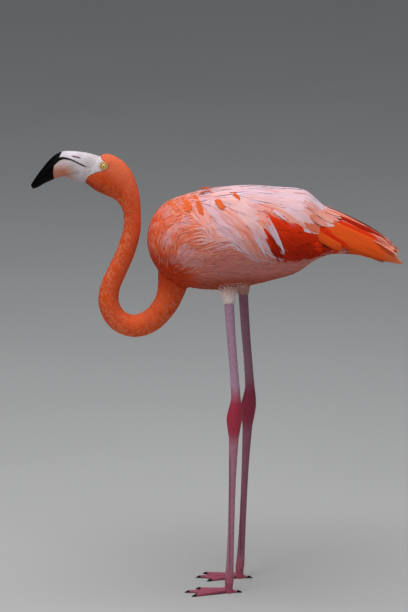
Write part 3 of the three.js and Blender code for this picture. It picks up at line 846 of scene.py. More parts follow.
def inside(outline, x, z, softness):
    """Share by which seen places lie inside an outline, with an edge of the given softness."""
    corners = np.array(outline, float)
    crossed = np.zeros(np.shape(x), bool)
    nearest = np.full(np.shape(x), np.inf)
    for (x0, z0), (x1, z1) in zip(corners, np.roll(corners, -1, axis=0)):
        rises = (z0 > z) != (z1 > z)
        crossed ^= rises & (x < (x1 - x0) * (z - z0) / (z1 - z0 if z1 != z0 else 1) + x0)
        share = np.clip(((x - x0) * (x1 - x0) + (z - z0) * (z1 - z0)) / ((x1 - x0) ** 2 + (z1 - z0) ** 2), 0, 1)
        nearest = np.minimum(nearest, np.hypot(x - x0 - share * (x1 - x0), z - z0 - share * (z1 - z0)))
    return smoothstep(-softness / 2, softness / 2, np.where(crossed, nearest, -nearest))


def vivid(places):
    """Share by which places lie in the vivid markings of the wing."""
    x, z = seen_from_side(places)
    return np.maximum(inside(VIVID_PATCH, x, z, 5), inside(RED_WEDGE, x, z, 2.5))


def band_colours(places):
    """Colours of the long feathers: pale and salmon bands that follow the lie."""
    x, z = places[:, 0] / MM, places[:, 2] / MM
    place = x - (700 - z) * 0.72
    stops = np.array([stop for stop, _ in BANDS], float)
    colours = np.array([colour for _, colour in BANDS])
    found = np.stack([np.interp(place, stops, colours[:, k]) for k in range(3)], 1)
    return mix(found, BACK_PINK, 0.75 * smoothstep(716, 734, z) * smoothstep(-30, 20, x))


def varied(colour, amount, random):
    """The colours with a little more or less light for each feather."""
    return np.clip(colour * (1 + amount * random.uniform(-1, 1, (len(colour), 1))), 0, 1)


def pick(choices, weights, count, random):
    """A colour for each feather, out of a few, by weight."""
    weights = np.array(weights, float)
    chosen = random.choice(len(choices), count, p=weights / weights.sum())
    return np.array(choices)[chosen]


# ---------------------------------------------------------------- guides

line = MiddleLine()
neck_guide = Guide(*ring_loft(section_rings(np.vstack([head_rows(110)[:-1], neck_rows(260)]), 64)))
BODY_NODES = ("trunk", "wing_left", "wing_right", "tail", "neck_base")
body_parts = [node_arrays(name, 0.0002) for name in BODY_NODES]
body_guide = Guide(*voxel_union("coat_form", body_parts, 0.0032, 18))
thigh_tubes = [ring_loft(flared(leg_rings(side, 90, 32))) for side in ("left", "right")]
thigh_guide = Guide(*voxel_union("thigh_form", [node_arrays("trunk"), *thigh_tubes], 0.0026, 5))

# ---------------------------------------------------------------- head and neck plumage


HEAD_COAT_END = 0.30                    # place on the middle line where the second coat piece takes over


def make_neck_part(name, first, last, seed, material):
    """Small feathers between two places on the line down head and neck; they grow larger downwards."""
    random = np.random.default_rng(seed)
    coat = Coat(name, line.unwrap)

    def growth(places):
        return smoothstep(0.02, line.neck_start, line.share(places))

    def keep(places, normals):
        share = line.share(places)
        return (share >= first) & (share < last) & ~is_bare_face(places) & (body_guide.depth(places) < 0.007)

    roots, _ = scatter(neck_guide, keep, lambda places: 0.0015 + 0.0006 * growth(places), random)
    roots = roots[~is_bare_face(roots)]
    count = len(roots)
    grown = growth(roots)
    lengths = (0.0048 + 0.0070 * grown) * random.uniform(0.85, 1.2, count)
    spines, normals = march(neck_guide, roots, line.lie, lengths, 5, random.normal(0, 0.13, count))
    depth = (0.6 + 1.0 * grown) * MM
    spines = raised(spines, normals, depth, random.uniform(0.0001, 0.0004 + 0.0003 * grown, count))
    widths = (0.0014 + 0.0015 * grown) * random.uniform(0.85, 1.2, count)
    widths = widths[:, None] * contour_outline(np.linspace(0, 1, 5))
    middle = spines[:, 2]
    base = varied(np.tile(VERMILION, (count, 1)), 0.05, random)
    base = mix(base, NECK_DEEP, 0.24 + 0.14 * np.clip(drift(middle, 0.022, 7), -1, 1))
    # Painted shade: the head and upper neck darkened where their surface faces downwards.
    throat = smoothstep(0.1, -0.7, normals[:, 0, 2]) * (1 - grown)
    base = mix(base, NECK_DEEP * 0.65, 0.9 * throat)
    # Painted light: the head and upper neck paler on the nape side, where the crown is lit from above.
    base = mix(base, NECK_PALE, 0.30 * smoothstep(0.2, -0.9, line.throat_side(middle)) * (1 - 0.7 * grown))
    base = mix(base, NECK_DEEP, 0.8 * smoothstep(0.84, 0.96, line.share(roots)))
    front = 0.3 + 0.7 * smoothstep(-0.5, 0.7, line.throat_side(middle))
    shown = front * (0.35 + 0.65 * grown) * smoothstep(0.97, 0.86, line.share(roots))
    mottle = smoothstep(-0.1, 1.0, drift(middle, 0.008, 8) + random.normal(0, 0.4, count))
    speck = (random.random(count) < 0.22) * random.uniform(0.2, 0.5, count)
    flecked = 0.04 + shown * np.maximum(0.42 * mottle, speck)
    tip = mix(base, NECK_PALE, flecked)
    coat.add(spines, normals, widths, TUFT_SECTION, 0.0003, 0.12, mix(base, tip, 0.2), tip, random=random)
    return coat.finish(material)


# ---------------------------------------------------------------- body plumage


def outside_neck(places):
    return neck_guide.depth(places) < 0.004


def make_body_coat(name, keep, spacing, length, half_width, lift, ruffle, seed, material):
    """Small overlapping feathers over one part of the trunk."""
    random = np.random.default_rng(seed)
    coat = Coat(name, unwrap_body)
    roots, _ = scatter(body_guide, keep, spacing, random)
    count = len(roots)
    lengths = length * random.uniform(0.75, 1.25, count)
    swerve = random.normal(0, ruffle, count) + 1.6 * ruffle * drift(roots, 0.035, seed)
    spines, normals = march(body_guide, roots, body_lie, lengths, 8, swerve)
    spines = raised(spines, normals, 0.0020, lift * random.uniform(0.0, 0.7, count))
    outline = contour_outline(np.linspace(0, 1, 8))
    widths = half_width * random.uniform(0.7, 1.2, count)[:, None] * outline
    base = varied(body_markings(spines[:, 3]), 0.07, random)
    paler = 0.45 * smoothstep(-0.2, 0.9, drift(roots, 0.020, seed + 1) + random.normal(0, 0.35, count))
    paler = paler * (1 - vivid(roots)) * smoothstep(0.57, 0.64, roots[:, 2])
    tip = mix(base, SALMON_PALE, paler)
    coat.add(spines, normals, widths, TUFT_SECTION, 0.0004, 0.06, base, tip, ragged=0.10, random=random)
    return coat.finish(material)


def on_breast(places, normals):
    return (places[:, 0] < -0.015) & outside_neck(places)


def on_back(places, normals):
    return (places[:, 0] >= -0.015) & (places[:, 0] < 0.2) & (places[:, 2] > 0.66)


def on_flank(places, normals):
    return (places[:, 0] >= -0.015) & (places[:, 0] < 0.235) & (places[:, 2] <= 0.66)


# ---------------------------------------------------------------- long feathers of back and wings

SIDES = {"left": -1, "right": 1}
WING_LIFT = {"left": 0, "right": 19}    # the right wing's tip lies this much higher
LIFT_SPAN = (190, 333)

# Rows of scapulars: root line from (x, z) to (x, z), count, first and last length, half width, height.
SCAPULAR_ROWS = [
    ((-24, 690), (52, 664), 14, 34, 56, 7.2, 0.5),
    ((-34, 704), (72, 686), 18, 44, 80, 7.8, 0.8),
    ((-42, 716), (84, 706), 19, 54, 96, 8.2, 1.1),
    ((-44, 726), (84, 722), 19, 62, 112, 8.0, 1.2),
    ((-30, 733), (72, 736), 15, 76, 124, 7.6, 1.3),
]
REAR_SCAPULAR_ROWS = [
    ((104, 700), (182, 678), 11, 44, 46, 8.0, 0.8),
    ((100, 716), (184, 692), 12, 54, 52, 8.2, 1.0),
    ((90, 726), (180, 704), 12, 66, 60, 8.4, 1.2),
    ((80, 734), (172, 718), 12, 80, 64, 8.4, 1.4),
    ((64, 738), (150, 728), 10, 90, 74, 8.0, 1.5),
    ((160, 700), (194, 690), 8, 44, 40, 6.5, 4.6),
    ((166, 712), (198, 697), 8, 50, 42, 6.5, 5.0),
]
# Vivid wing coverts, bared between the two groups of scapulars.
COVERT_ROWS = [
    ((150, 624), (196, 640), 6, 44, 38, 8.5, 0.6),
    ((110, 642), (196, 660), 9, 46, 44, 8.5, 0.9),
    ((92, 672), (190, 678), 11, 48, 46, 8.5, 1.1),
    ((84, 704), (170, 694), 10, 50, 46, 8.5, 1.3),
]
# Brushes of strands that break the rows: start, end, half width, height, root colour, tip colour, and
# the share of that width over which the strands' roots and tips spread.
FLARED = (0.2, 0.8)
TAPERED = (0.8, 0.3)
ACCENTS = [
    ((-64, 723), (-44, 703), 8.0, 1.5, ORANGE, ORANGE, FLARED),
    ((-88, 712), (-66, 705), 5.5, 1.2, ORANGE, SALMON, FLARED),
    ((-41, 731), (-22, 698), 6.0, 1.8, ORANGE, ORANGE, FLARED),
    ((-14, 734), (16, 708), 6.4, 2.0, ORANGE, ORANGE, FLARED),
    ((20, 737), (44, 723), 5.0, 1.8, ORANGE, ORANGE, FLARED),
    ((-34, 731), (-8, 732.5), 2.2, 2.0, ORANGE, VERMILION, FLARED),
    ((74, 688), (118, 616), 8.5, 2.8, VIVID_RED, DEEP_RED, FLARED),
    ((54, 694), (90, 624), 5.0, 1.6, LILAC_PINK, BACK_PINK, TAPERED),
    ((80, 706), (122, 632), 7.5, 3.4, LILAC_PINK, BACK_PINK, TAPERED),
    ((95, 711), (126, 688), 2.8, 3.6, BACK_PINK, BACK_PINK, TAPERED),
]
BRUSH_STRANDS = 11


def side_place(guide, place, side):
    """Where a line across the bird at side-view place (x, z), in millimetres, meets the coat, and if it does."""
    origin = Vector((place[0] * MM, side * 0.4, place[1] * MM))
    spot, _, face, _ = guide.tree.ray_cast(origin, Vector((0, -side, 0)))
    met = spot is not None and spot.y * side > 0
    if not met:
        spot, _, face, _ = guide.tree.find_nearest(Vector((place[0] * MM, side * 0.02, place[1] * MM)))
    return np.array(spot), guide.normals[face], met


def drape(guide, start, end, shares, side, bow=0.0):
    """Spine of a feather between two side-view places, at shares of its length, bowed by a share of it."""
    start, end = np.array(start, float), np.array(end, float)
    square = np.array([start[1] - end[1], end[0] - start[0]])
    along = shares[:, None]
    places = start + (end - start) * along + square * bow * 4 * along * (1 - along)
    surface = np.zeros((len(places), 4))
    for index, place in enumerate(places):
        spot, normal, met = side_place(guide, place, side)
        missed = index and not met
        surface[index] = surface[index - 1] if missed else [spot[1], *normal]
    smooth = np.vander(shares, 3) @ np.polyfit(shares, surface, 2)
    return np.stack([places[:, 0] * MM, smooth[:, 0], places[:, 1] * MM], 1), normalised(smooth[:, 1:])


def over_patch(spines):
    """Where the spines have come over the vivid patch."""
    return inside(VIVID_PATCH, *seen_from_side(spines), 5) > 0.4


def march_to_patch(roots, lengths, steps, swerve):
    """Spines that follow the lie over the body and end where the vivid patch begins."""
    spines, _ = march(body_guide, roots, body_lie, lengths, steps, swerve)
    over = over_patch(spines)
    allowed = np.where(over.any(1), over.argmax(1) / (steps - 1), 1.0)
    long_enough = allowed > 0.3
    return march(body_guide, roots[long_enough], body_lie, (lengths * allowed)[long_enough], steps,
                 swerve[long_enough])


def add_rows(coat, rows, side, colouring, random, steps=12, outline=lance_outline, bounded=True):
    """Rows of long feathers that follow the lie of the coat; upper rows lie over lower ones."""
    for (x0, z0), (x1, z1), number, first, last, half_width, height in rows:
        share = (np.arange(number) + random.uniform(-0.3, 0.3, number)) / (number - 1)
        places = [(x0 + (x1 - x0) * s, z0 + (z1 - z0) * s + random.uniform(-3, 3)) for s in share]
        roots = np.array([side_place(body_guide, place, side)[0] for place in places])
        lengths = (first + (last - first) * share) * random.uniform(0.88, 1.12, number) * MM
        swerve = random.normal(0, 0.05, number)
        if bounded:
            spines, normals = march_to_patch(roots, lengths, steps, swerve)
        else:
            spines, normals = march(body_guide, roots, body_lie, lengths, steps, swerve)
        count = len(spines)
        spines = raised(spines, normals, 0.0025, height * MM * random.uniform(0.6, 1.1, count), 0.5)
        widths = half_width * MM * random.uniform(0.8, 1.15, count)[:, None]
        widths = widths * outline(np.linspace(0, 1, steps))
        base, tip = colouring(spines, random)
        coat.add(spines, normals, widths, VANE_SECTION, 0.0010, 0.06, base, tip, 0.45, 0.08, random)


def add_brush(coat, side, start, end, half_width, height, root_colour, tip_colour, spread, random):
    """A soft-edged wedge or streak made of narrow strands."""
    start, end = np.array(start, float), np.array(end, float)
    length = np.linalg.norm(end - start)
    along = (end - start) / length
    square = np.array([-along[1], along[0]])
    for place in np.linspace(-1, 1, BRUSH_STRANDS):
        offset = half_width * (place + random.uniform(-0.15, 0.15))
        width = half_width * random.uniform(0.16, 0.34) * MM * lance_outline(np.linspace(0, 1, 10))[None]
        root = start + square * offset * spread[0] + along * length * random.uniform(0, 0.3)
        tip = end + square * offset * spread[1] - along * length * random.uniform(0, 0.12 + 0.3 * place ** 2)
        spine, normals = drape(body_guide, root, tip, np.linspace(0, 1, 10), side, 0.03)
        lift = height * MM * random.uniform(0.85, 1.1)
        spines = raised(spine[None], normals[None], 0.002, lift, 0.4)
        tone = random.uniform(0.94, 1.04)
        coat.add(spines, normals[None], width, TUFT_SECTION, 0.0005, 0.08,
                 root_colour[None] * tone, tip_colour[None] * tone, random=random)


def scapular_colours(spines, random):
    count = len(spines)
    bands = band_colours(spines[:, spines.shape[1] // 2])
    other = pick([SALMON, SALMON_PALE, LILAC_PINK], [3, 3, 2], count, random)
    base = mix(bands, other, random.uniform(0.1, 0.55, count))
    tip = mix(base, BACK_PINK, random.uniform(0.0, 0.3, count))
    tip = mix(tip, FLANK_MAUVE, 0.45 * smoothstep(0.668, 0.625, spines[:, -1, 2]))
    return varied(base, 0.05, random), varied(tip, 0.04, random)


def covert_colours(spines, random):
    tone = random.uniform(0.95, 1.05, (len(spines), 1))
    return body_markings(spines[:, 3]) * tone, body_markings(spines[:, -2]) * tone


def make_scapulars(side_name, material):
    random = np.random.default_rng(31 if side_name == "left" else 32)
    side = SIDES[side_name]
    coat = Coat(f"scapulars_{side_name}", unwrap_body)
    add_rows(coat, COVERT_ROWS, side, covert_colours, random, 10, quill_outline, bounded=False)
    add_rows(coat, REAR_SCAPULAR_ROWS, side, scapular_colours, random)
    add_rows(coat, SCAPULAR_ROWS, side, scapular_colours, random)
    for accent in ACCENTS:
        add_brush(coat, side, *accent, random)
    return coat.finish(material)


def make_wisps(side_name, material):
    """Thin loose strands over the back, shoulder and scapulars."""
    random = np.random.default_rng(41 if side_name == "left" else 42)
    side = SIDES[side_name]
    coat = Coat(f"wisps_{side_name}", unwrap_body)

    def keep(places, normals):
        x, y, z = places.T / MM
        above = z > 640 + 0.35 * np.maximum(x - 60, 0)
        return (side * y > 0) & (x > -60) & (x < 180) & above

    roots, _ = scatter(body_guide, keep, 0.0085, random)
    lengths = random.uniform(0.030, 0.060, len(roots))
    spines, normals = march_to_patch(roots, lengths, 8, random.normal(0, 0.09, len(roots)))
    count = len(spines)
    spines = raised(spines, normals, 0.001, random.uniform(0.0008, 0.0014, count), 0.5)
    widths = random.uniform(0.0009, 0.0022, count)[:, None] * lance_outline(np.linspace(0, 1, 8))
    base = band_colours(spines[:, 4])
    tip = mix(base, BACK_PINK, random.uniform(0.1, 0.7, count))
    coat.add(spines, normals, widths, TUFT_SECTION, 0.0005, 0.1, base, tip, random=random)
    return coat.finish(material)


def make_strands(side_name, material):
    """Loose, curling strands on shoulder and flank, in front of and below the long feathers."""
    random = np.random.default_rng(45 if side_name == "left" else 46)
    side = SIDES[side_name]
    coat = Coat(f"strands_{side_name}", unwrap_body)

    def keep(places, normals):
        x, y, z = places.T / MM
        return (side * y > 10) & (x > -104) & (x < 80) & (z > 590) & (z < 715) & (in_front(x, z) > 0)

    def in_front(x, z):
        return -18 + np.maximum(665 - z, 0) * 1.9 - x

    roots, _ = scatter(body_guide, keep, 0.0100, random)
    count = len(roots)
    lengths = random.uniform(0.018, 0.040, count)
    curl = 0.7 * drift(roots, 0.04, 9) + random.normal(0, 0.3, count)
    spines, normals = march(body_guide, roots, body_lie, lengths, 9, curl)
    spines = raised(spines, normals, 0.001, random.uniform(0.0005, 0.0012, count), 0.5)
    widths = random.uniform(0.0008, 0.0017, count)[:, None] * lance_outline(np.linspace(0, 1, 9))
    base = body_markings(spines[:, 4])
    tip = mix(base, SALMON_PALE, random.uniform(0.2, 0.7, count))
    coat.add(spines, normals, widths, TUFT_SECTION, 0.0005, 0.1, base, tip, random=random)
    return coat.finish(material)


# Folded flight feathers of the left wing: start, end, half width, height, root colour, tip colour.
# The later ones lie over the earlier ones.
TERTIALS = [
    ((166, 640), (272, 622), 8.0, -2.0, VIVID_RED, QUILL_ORANGE),
    ((166, 650), (300, 608), 9.0, -1.2, VIVID_RED, PEACH),
    ((165, 662), (318, 603), 9.5, -0.6, QUILL_ORANGE, PEACH),
    ((166, 674), (334.5, 600), 9.5, 0.4, QUILL_ORANGE, PEACH),
    ((170, 684), (330, 606), 9.0, 0.8, QUILL_ORANGE, PEACH),
    ((174, 690), (322, 616), 8.5, 1.2, QUILL_ORANGE, PEACH),
    ((178, 695), (311, 631), 7.0, 1.6, VIVID_RED, SALMON_PALE),
    # Partly the black flight feathers below and partly painted shadow: this row turns black along the gap under
    # the wings' top edge.
    ((198, 694), (304, 643), 6.5, 1.9, DEEP_RED, QUILL_BLACK),
    ((190, 706), (309, 648), 2.4, 2.6, SALMON, SALMON_PALE),
    ((176, 678), (238, 634), 7.0, 2.6, VIVID_RED, QUILL_ORANGE),
    ((172, 668), (243, 621), 7.0, 3.0, QUILL_ORANGE, SALMON_PALE),
    # Partly a black flight feather and partly painted shadow: a small black spot by the coverts' tip.
    ((188, 646), (210, 636.5), 3.0, 3.4, QUILL_BLACK, QUILL_BLACK),
]
QUILL_TURN = 0.5                        # how strongly quills turn their flat side outwards
QUILL_SHARES = np.sin(np.linspace(0, np.pi / 2, 28))        # places along a quill, closer near its tip
WING_TOP = [(156, 733), (178, 716), (195, 701), (222, 690.5), (260, 670.5), (297, 649.5), (320, 634),
            (336, 616)]


def lifted(place, lift):
    """A place on the left wing carried over to a wing lifted at its tip, kept below the wings' top."""
    share = min(max((place[0] - LIFT_SPAN[0]) / (LIFT_SPAN[1] - LIFT_SPAN[0]), 0), 1)
    x = place[0] - share * lift / 4
    top = np.interp(x, [row[0] for row in WING_TOP], [row[1] for row in WING_TOP])
    return np.array([x, min(place[1] + share * lift, top - 2)])


def make_tertials(side_name, material):
    random = np.random.default_rng(51 if side_name == "left" else 52)
    side = SIDES[side_name]
    lift = WING_LIFT[side_name]
    coat = Coat(f"tertials_{side_name}", unwrap_body)
    share = QUILL_SHARES
    for start, end, half_width, height, root_colour, tip_colour in TERTIALS:
        start, end = lifted(start, lift), lifted(end, lift)
        for layer in range(1 if tip_colour is QUILL_BLACK else 2):
            drop = np.array([0, -3.5 * layer])
            spine, normals = drape(body_guide, start + drop, end + drop * 0.4, share, side, 0.02)
            normals = normalised(normals + QUILL_TURN * np.array([0, side, 0.2]))
            inward = (height - 3.4 * layer) * MM * share ** 0.5
            spines = spine[None] + normals[None] * inward[None, :, None]
            widths = half_width * MM * quill_outline(share)[None]
            coat.add(spines, normals[None], widths, VANE_SECTION, 0.0011, 0.12, root_colour[None],
                     tip_colour[None], 0.82, 0.03, random)
    return coat.finish(material)


SADDLE_SPAN = (140, 285)
SADDLE_ROWS = 20
SADDLE_SPREAD = np.linspace(-24, 24, 11)
SADDLE_DEPTH = 6                        # how far below the wings' top line the back between them lies


def make_saddle(material):
    """Feathers of the lower back, which close the space between the folded wings."""
    random = np.random.default_rng(62)
    coat = Coat("saddle_feathers", unwrap_body)
    share = np.linspace(0, 1, 9)
    top_x, top_z = np.array(WING_TOP, float).T
    for x in np.linspace(*SADDLE_SPAN, SADDLE_ROWS):
        rear = smoothstep(150, 196, x)
        for y in SADDLE_SPREAD:
            spine = np.zeros((len(share), 3))
            spine[:, 0] = x + random.uniform(-4, 4) + random.uniform(34, 46) * share
            spine[:, 1] = y * (1 - 0.15 * share) + random.uniform(-1, 1)
            bridge = np.interp(spine[:, 0], top_x, top_z) - SADDLE_DEPTH - 0.25 * abs(y)
            for point, floor in zip(spine, bridge):
                spot = body_guide.tree.ray_cast(Vector((point[0] * MM, point[1] * MM, 1)), Vector((0, 0, -1)))[0]
                point[2] = max(spot.z / MM if spot else 0, floor)
            spine[:, 2] += -2 + 3 * share ** 0.5
            along = np.gradient(spine, axis=0)
            normals = normalised(np.cross(along, np.tile([0.0, 1.0, -0.012 * y], (len(share), 1))))
            base = mix(mix(BACK_PINK, SALMON_PALE, random.random()), QUILL_ORANGE, 0.8 * rear)
            tip = mix(BACK_PINK, mix(SALMON, SALMON_PALE, random.random()), rear)
            coat.add(spine[None] * MM, normals[None], 4.6 * MM * quill_outline(share)[None], VANE_SECTION,
                     0.0006, 0.12, base[None], tip[None], 0.6, 0.04, random)
    return coat.finish(material)


def make_tail(material):
    """Fan of tail feathers."""
    random = np.random.default_rng(61)
    coat = Coat("tail_feathers", unwrap_body)
    low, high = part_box("tail")
    steps = 12
    share = np.linspace(0, 1, steps)
    for place in np.linspace(-1, 1, 11):
        start = np.array([low.x - 0.045, 0.010 * place, 0.644])
        end = np.array([high.x - 0.012 * abs(place), 0.019 * place, low.z + 0.003 - 0.002 * abs(place)])
        spine = start + (end - start) * share[:, None]
        spine[:, 2] += 0.006 * np.sin(np.pi * share) - 0.002 * abs(place) * share
        normals = normalised(np.tile([0.25, 0.5 * place, 1.0], (steps, 1)))
        widths = 0.0075 * quill_outline(share)
        coat.add(spine[None], normals[None], widths[None], VANE_SECTION, 0.0007, 0.15,
                 mix(SALMON, ORANGE, random.random())[None], SALMON_PALE[None], 0.7, 0.05, random)
    return coat.finish(material)


THIGH_REACH = 34                        # how far from the thigh's middle its own feathers begin
THIGH_BLEND = (558, 575)                # heights between which they turn into those of the belly
THIGH_SPREAD = (19, 28)                 # and the distances from its middle, likewise
# Pale pink of the left thigh, and painted shade of it on the right one.
THIGH_PINK_AND_SHADE = {"left": BLUSH, "right": THIGH_PAINTED_SHADE}


def make_thigh_coat(side_name, material):
    """Short pale feathers down to where the bare shank begins."""
    random = np.random.default_rng(71 if side_name == "left" else 72)
    coat = Coat(f"thigh_feathers_{side_name}", unwrap_body)
    low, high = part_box(f"thigh_{side_name}")
    middle = np.array([(low.x + high.x) / 2, (low.y + high.y) / 2])
    bare_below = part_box(f"shank_{side_name}")[1].z

    def distance(places):
        return np.linalg.norm((places[:, :2] - middle) / MM, axis=1)

    def on_belly(places):
        return np.maximum(smoothstep(*THIGH_BLEND, places[:, 2] / MM), smoothstep(*THIGH_SPREAD, distance(places)))

    def lie(places, normals):
        belly = on_belly(places)[:, None]
        down = np.tile([0.1, 0.0, -1.0], (len(places), 1))
        return along_surface(down * (1 - belly) + body_lie(places, normals) * belly, normals)

    def keep(places, normals):
        return (places[:, 2] > bare_below - 0.001) & (distance(places) < THIGH_REACH) & (places[:, 2] < 0.600)

    roots, _ = scatter(thigh_guide, keep, 0.0021, random)
    count = len(roots)
    lengths = random.uniform(0.009, 0.017, count) * (1 - 0.5 * smoothstep(0.553, 0.541, roots[:, 2]))
    spines, normals = march(thigh_guide, roots, lie, lengths, 6, random.normal(0, 0.16, count))
    spines = raised(spines, normals, 0.0020, random.uniform(0.0004, 0.0010, count))
    widths = random.uniform(0.0010, 0.0016, count)[:, None] * contour_outline(np.linspace(0, 1, 6))
    blended = on_belly(roots + random.normal(0, 2, (count, 1)) * [0, 0, MM])
    # The right thigh's base colour is painted shade, a darker copy of the left one's pink.
    base = mix(np.tile(THIGH_PINK_AND_SHADE[side_name], (count, 1)), SALMON_PALE, 0.15 * random.random(count))
    base = varied(mix(base, 1.1 * body_markings(roots), blended), 0.06, random)
    coat.add(spines, normals, widths, TUFT_SECTION, 0.0006, 0.2, base, base, random=random)
    return coat.finish(material)


# ---------------------------------------------------------------- bill

BILL_STATIONS = 180
BILL_ARC = 76                           # points round one half of the bill
BILL_BED = 14                           # points across its mouth face
NOSTRIL_LINE = ((-259.5, 796.5), (-241, 792))
NOSTRIL_RADIUS = 1.5
NOSTRIL_DEPTH = 1.1


def gape_share(rows):
    """How high the mouth line crosses each section, from 0 at its bottom to 1 at its top."""
    gape = smooth_rows(GAPE_LINE, 200)
    shares = []
    for row in rows:
        top, bottom = row[0:2], row[2:4]
        steps = np.linspace(0, 1, 200)
        places = bottom + (top - bottom) * steps[:, None]
        gap = np.hypot(places[:, None, 0] - gape[None, :, 0], places[:, None, 1] - gape[None, :, 1])
        shares.append(steps[gap.min(1).argmin()])
    kernel = np.hanning(7) / np.hanning(7).sum()
    return np.convolve(np.pad(shares, 3, "edge"), kernel, "valid")


def bill_half_rings(rows, shares, upper):
    """Rings of the upper or lower bill: the bill's oval cut at the mouth line."""
    rings = []
    snug = 1 - BILL_SNUG * np.exp(-np.arange(len(rows)) / 5)
    for row, share, size in zip(rows, shares, snug):
        top, bottom = row[0:2], row[2:4]
        height = np.linalg.norm(top - bottom)
        level = share + (GAPE_GAP if upper else -GAPE_GAP) / 2 / height
        edge = math.acos(np.clip(2 * level - 1, -0.98, 0.98))
        arc = np.linspace(-edge, edge, BILL_ARC) if upper else np.linspace(edge, 2 * np.pi - edge, BILL_ARC)
        up, across = np.cos(arc), np.sin(arc)
        across = across * (1 - 0.07 * np.abs(up) ** 6) * (0.965 if upper else 1.0)
        bed = np.linspace(across[-1], across[0], BILL_BED + 2)[1:-1]
        bed_up = np.full(BILL_BED, np.cos(edge)) + (0.10 if upper else 0.07) * (1 - (bed / across[0]) ** 2)
        up, across = np.concatenate([up, bed_up]), np.concatenate([across, bed])
        centre, half = (top + bottom) / 2, (top - bottom) / 2
        ring = np.zeros((len(up), 3))
        ring[:, 0] = centre[0] + half[0] * up * size + BILL_OVERLAP
        ring[:, 2] = centre[1] + half[1] * up * size
        ring[:, 1] = row[4] * across * size
        rings.append(ring)
    return np.array(rings) * MM


def segment_distance(places, start, end):
    """Distance in side view from places to a line between two (x, z), all in millimetres."""
    start, end = np.array(start, float), np.array(end, float)
    flat = places[:, [0, 2]] / MM
    share = np.clip(((flat - start) @ (end - start)) / ((end - start) @ (end - start)), 0, 1)
    return np.linalg.norm(flat - start - share[:, None] * (end - start), axis=1)


def nostril(places, outer, inner):
    """1 inside the slit of the nostril, 0 beyond it; outer and inner are shares of its half width."""
    start, end = np.array(NOSTRIL_LINE)
    flat = places[:, [0, 2]] / MM - (start + end) / 2
    along = (end - start) / np.linalg.norm(end - start)
    lengthways = flat @ along / (np.linalg.norm(end - start) / 2)
    across = (flat @ np.array([-along[1], along[0]])) / NOSTRIL_RADIUS
    return smoothstep(outer, inner, np.sqrt(lengthways ** 4 + across ** 2))


def gape_distance(places):
    gape = smooth_rows(GAPE_LINE, 120)
    flat = places[:, [0, 2]] / MM
    return np.linalg.norm(flat[:, None] - gape[None], axis=2).min(1)


def bill_markings(places, upper):
    x, z = places[:, 0] / MM, places[:, 2] / MM
    if upper:
        colour = mix(np.tile(BILL_WHITE, (len(places), 1)), FACE_WHITE, smoothstep(-250, -225, x))
        black = smoothstep(0.7, -0.7, x + 276.0 + (802 - z) * 0.55)
        colour = mix(colour, NOSTRIL, nostril(places, 1.2, 0.4))
        line_width = 1.1 + 1.2 * smoothstep(-250, -280, x)
    else:
        colour = mix(np.tile(BILL_ROSE, (len(places), 1)), BILL_GREY, smoothstep(-272, -250, x))
        colour = mix(colour, BILL_WHITE, 0.75 * smoothstep(768, 786, z))
        colour = mix(colour, FACE_WHITE, smoothstep(-258, -244, x))
        # Painted shade in the crease of a fold near the base of the lower bill.
        fold = segment_distance(places, (-262, 764), (-246, 768))
        colour = mix(colour, BILL_FOLD_SHADE, 0.30 * smoothstep(4.5, 0.5, fold))
        black = smoothstep(0.8, -0.8, x + 290.5 + 0.8 * np.cos((z - 766) * 0.2))
        line_width = 1.4 + 2.2 * smoothstep(-262, -286, x)
    along_gape = smoothstep(line_width + 0.5, line_width - 0.4, gape_distance(places))
    black = np.maximum(black, along_gape * smoothstep(-228, -238, x))
    return mix(colour, BILL_BLACK, black)


def make_bill(material):
    rows = smooth_rows(BILL_SECTIONS, BILL_STATIONS)
    shares = gape_share(rows)
    for upper, name in ((True, "bill_upper"), (False, "bill_lower")):
        points, triangles = ring_loft(bill_half_rings(rows, shares, upper))
        normals = point_normals(points, triangles)
        if signed_volume(points, triangles) < 0:
            normals = -normals
        if upper:
            points = points - normals * (nostril(points, 1.0, 0.2) * NOSTRIL_DEPTH * MM)[:, None]
            ridge = np.exp(-(points[:, 1] / MM / 2.2) ** 2) * (points[:, 2] > 0.78)
            points[:, 2] += 0.0003 * ridge
        else:
            furrow = np.abs(np.sin((points[:, 2] / MM - 0.25 * points[:, 0] / MM) * 0.55))
            shade = smoothstep(-0.292, -0.284, points[:, 0]) * smoothstep(0.004, 0.009, np.abs(points[:, 1]))
            points = points - normals * (furrow * shade * 0.22 * MM)[:, None]
        obj = make_mesh(name + "_horn", points, triangles, bill_markings(points, upper))
        obj.data.materials.append(material)
        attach(obj, "root")
        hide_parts(name)


# ---------------------------------------------------------------- eyes and claws


def make_eyes(material):
    """Each eyeball is turned about the line that looks sideways, with a slightly domed cornea."""
    sides, rings = 56, 60
    iris_radius, pupil_radius = 3.9, 1.45
    for name, side in SIDES.items():
        polar = np.linspace(0.02, np.pi - 0.02, rings)
        around = 2 * np.pi * np.arange(sides) / sides
        reach = EYE_RADIUS * np.sin(polar)
        dome = np.where(polar < np.pi / 2, 0.35 * np.clip(1 - (reach / iris_radius) ** 2, 0, 1), 0)
        loops = np.zeros((rings, sides, 3))
        loops[:, :, 0] = EYE_CENTRE[0] + reach[:, None] * np.cos(around)
        loops[:, :, 2] = EYE_CENTRE[2] + reach[:, None] * np.sin(around)
        loops[:, :, 1] = side * (EYE_CENTRE[1] + EYE_RADIUS * np.cos(polar) + dome)[:, None]
        points, triangles = ring_loft(loops * MM)
        radius = np.hypot(points[:, 0] / MM - EYE_CENTRE[0], points[:, 2] / MM - EYE_CENTRE[2])
        colour = mix(np.tile(IRIS, (len(points), 1)), IRIS_RIM, smoothstep(2.9, 3.9, radius))
        colour = mix(colour, PUPIL, smoothstep(pupil_radius + 0.2, pupil_radius - 0.1, radius))
        obj = make_mesh(f"eye_{name}_ball", points, triangles, colour)
        obj.data.materials.append(material)
        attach(obj, "root")
        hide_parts(f"eye_{name}")


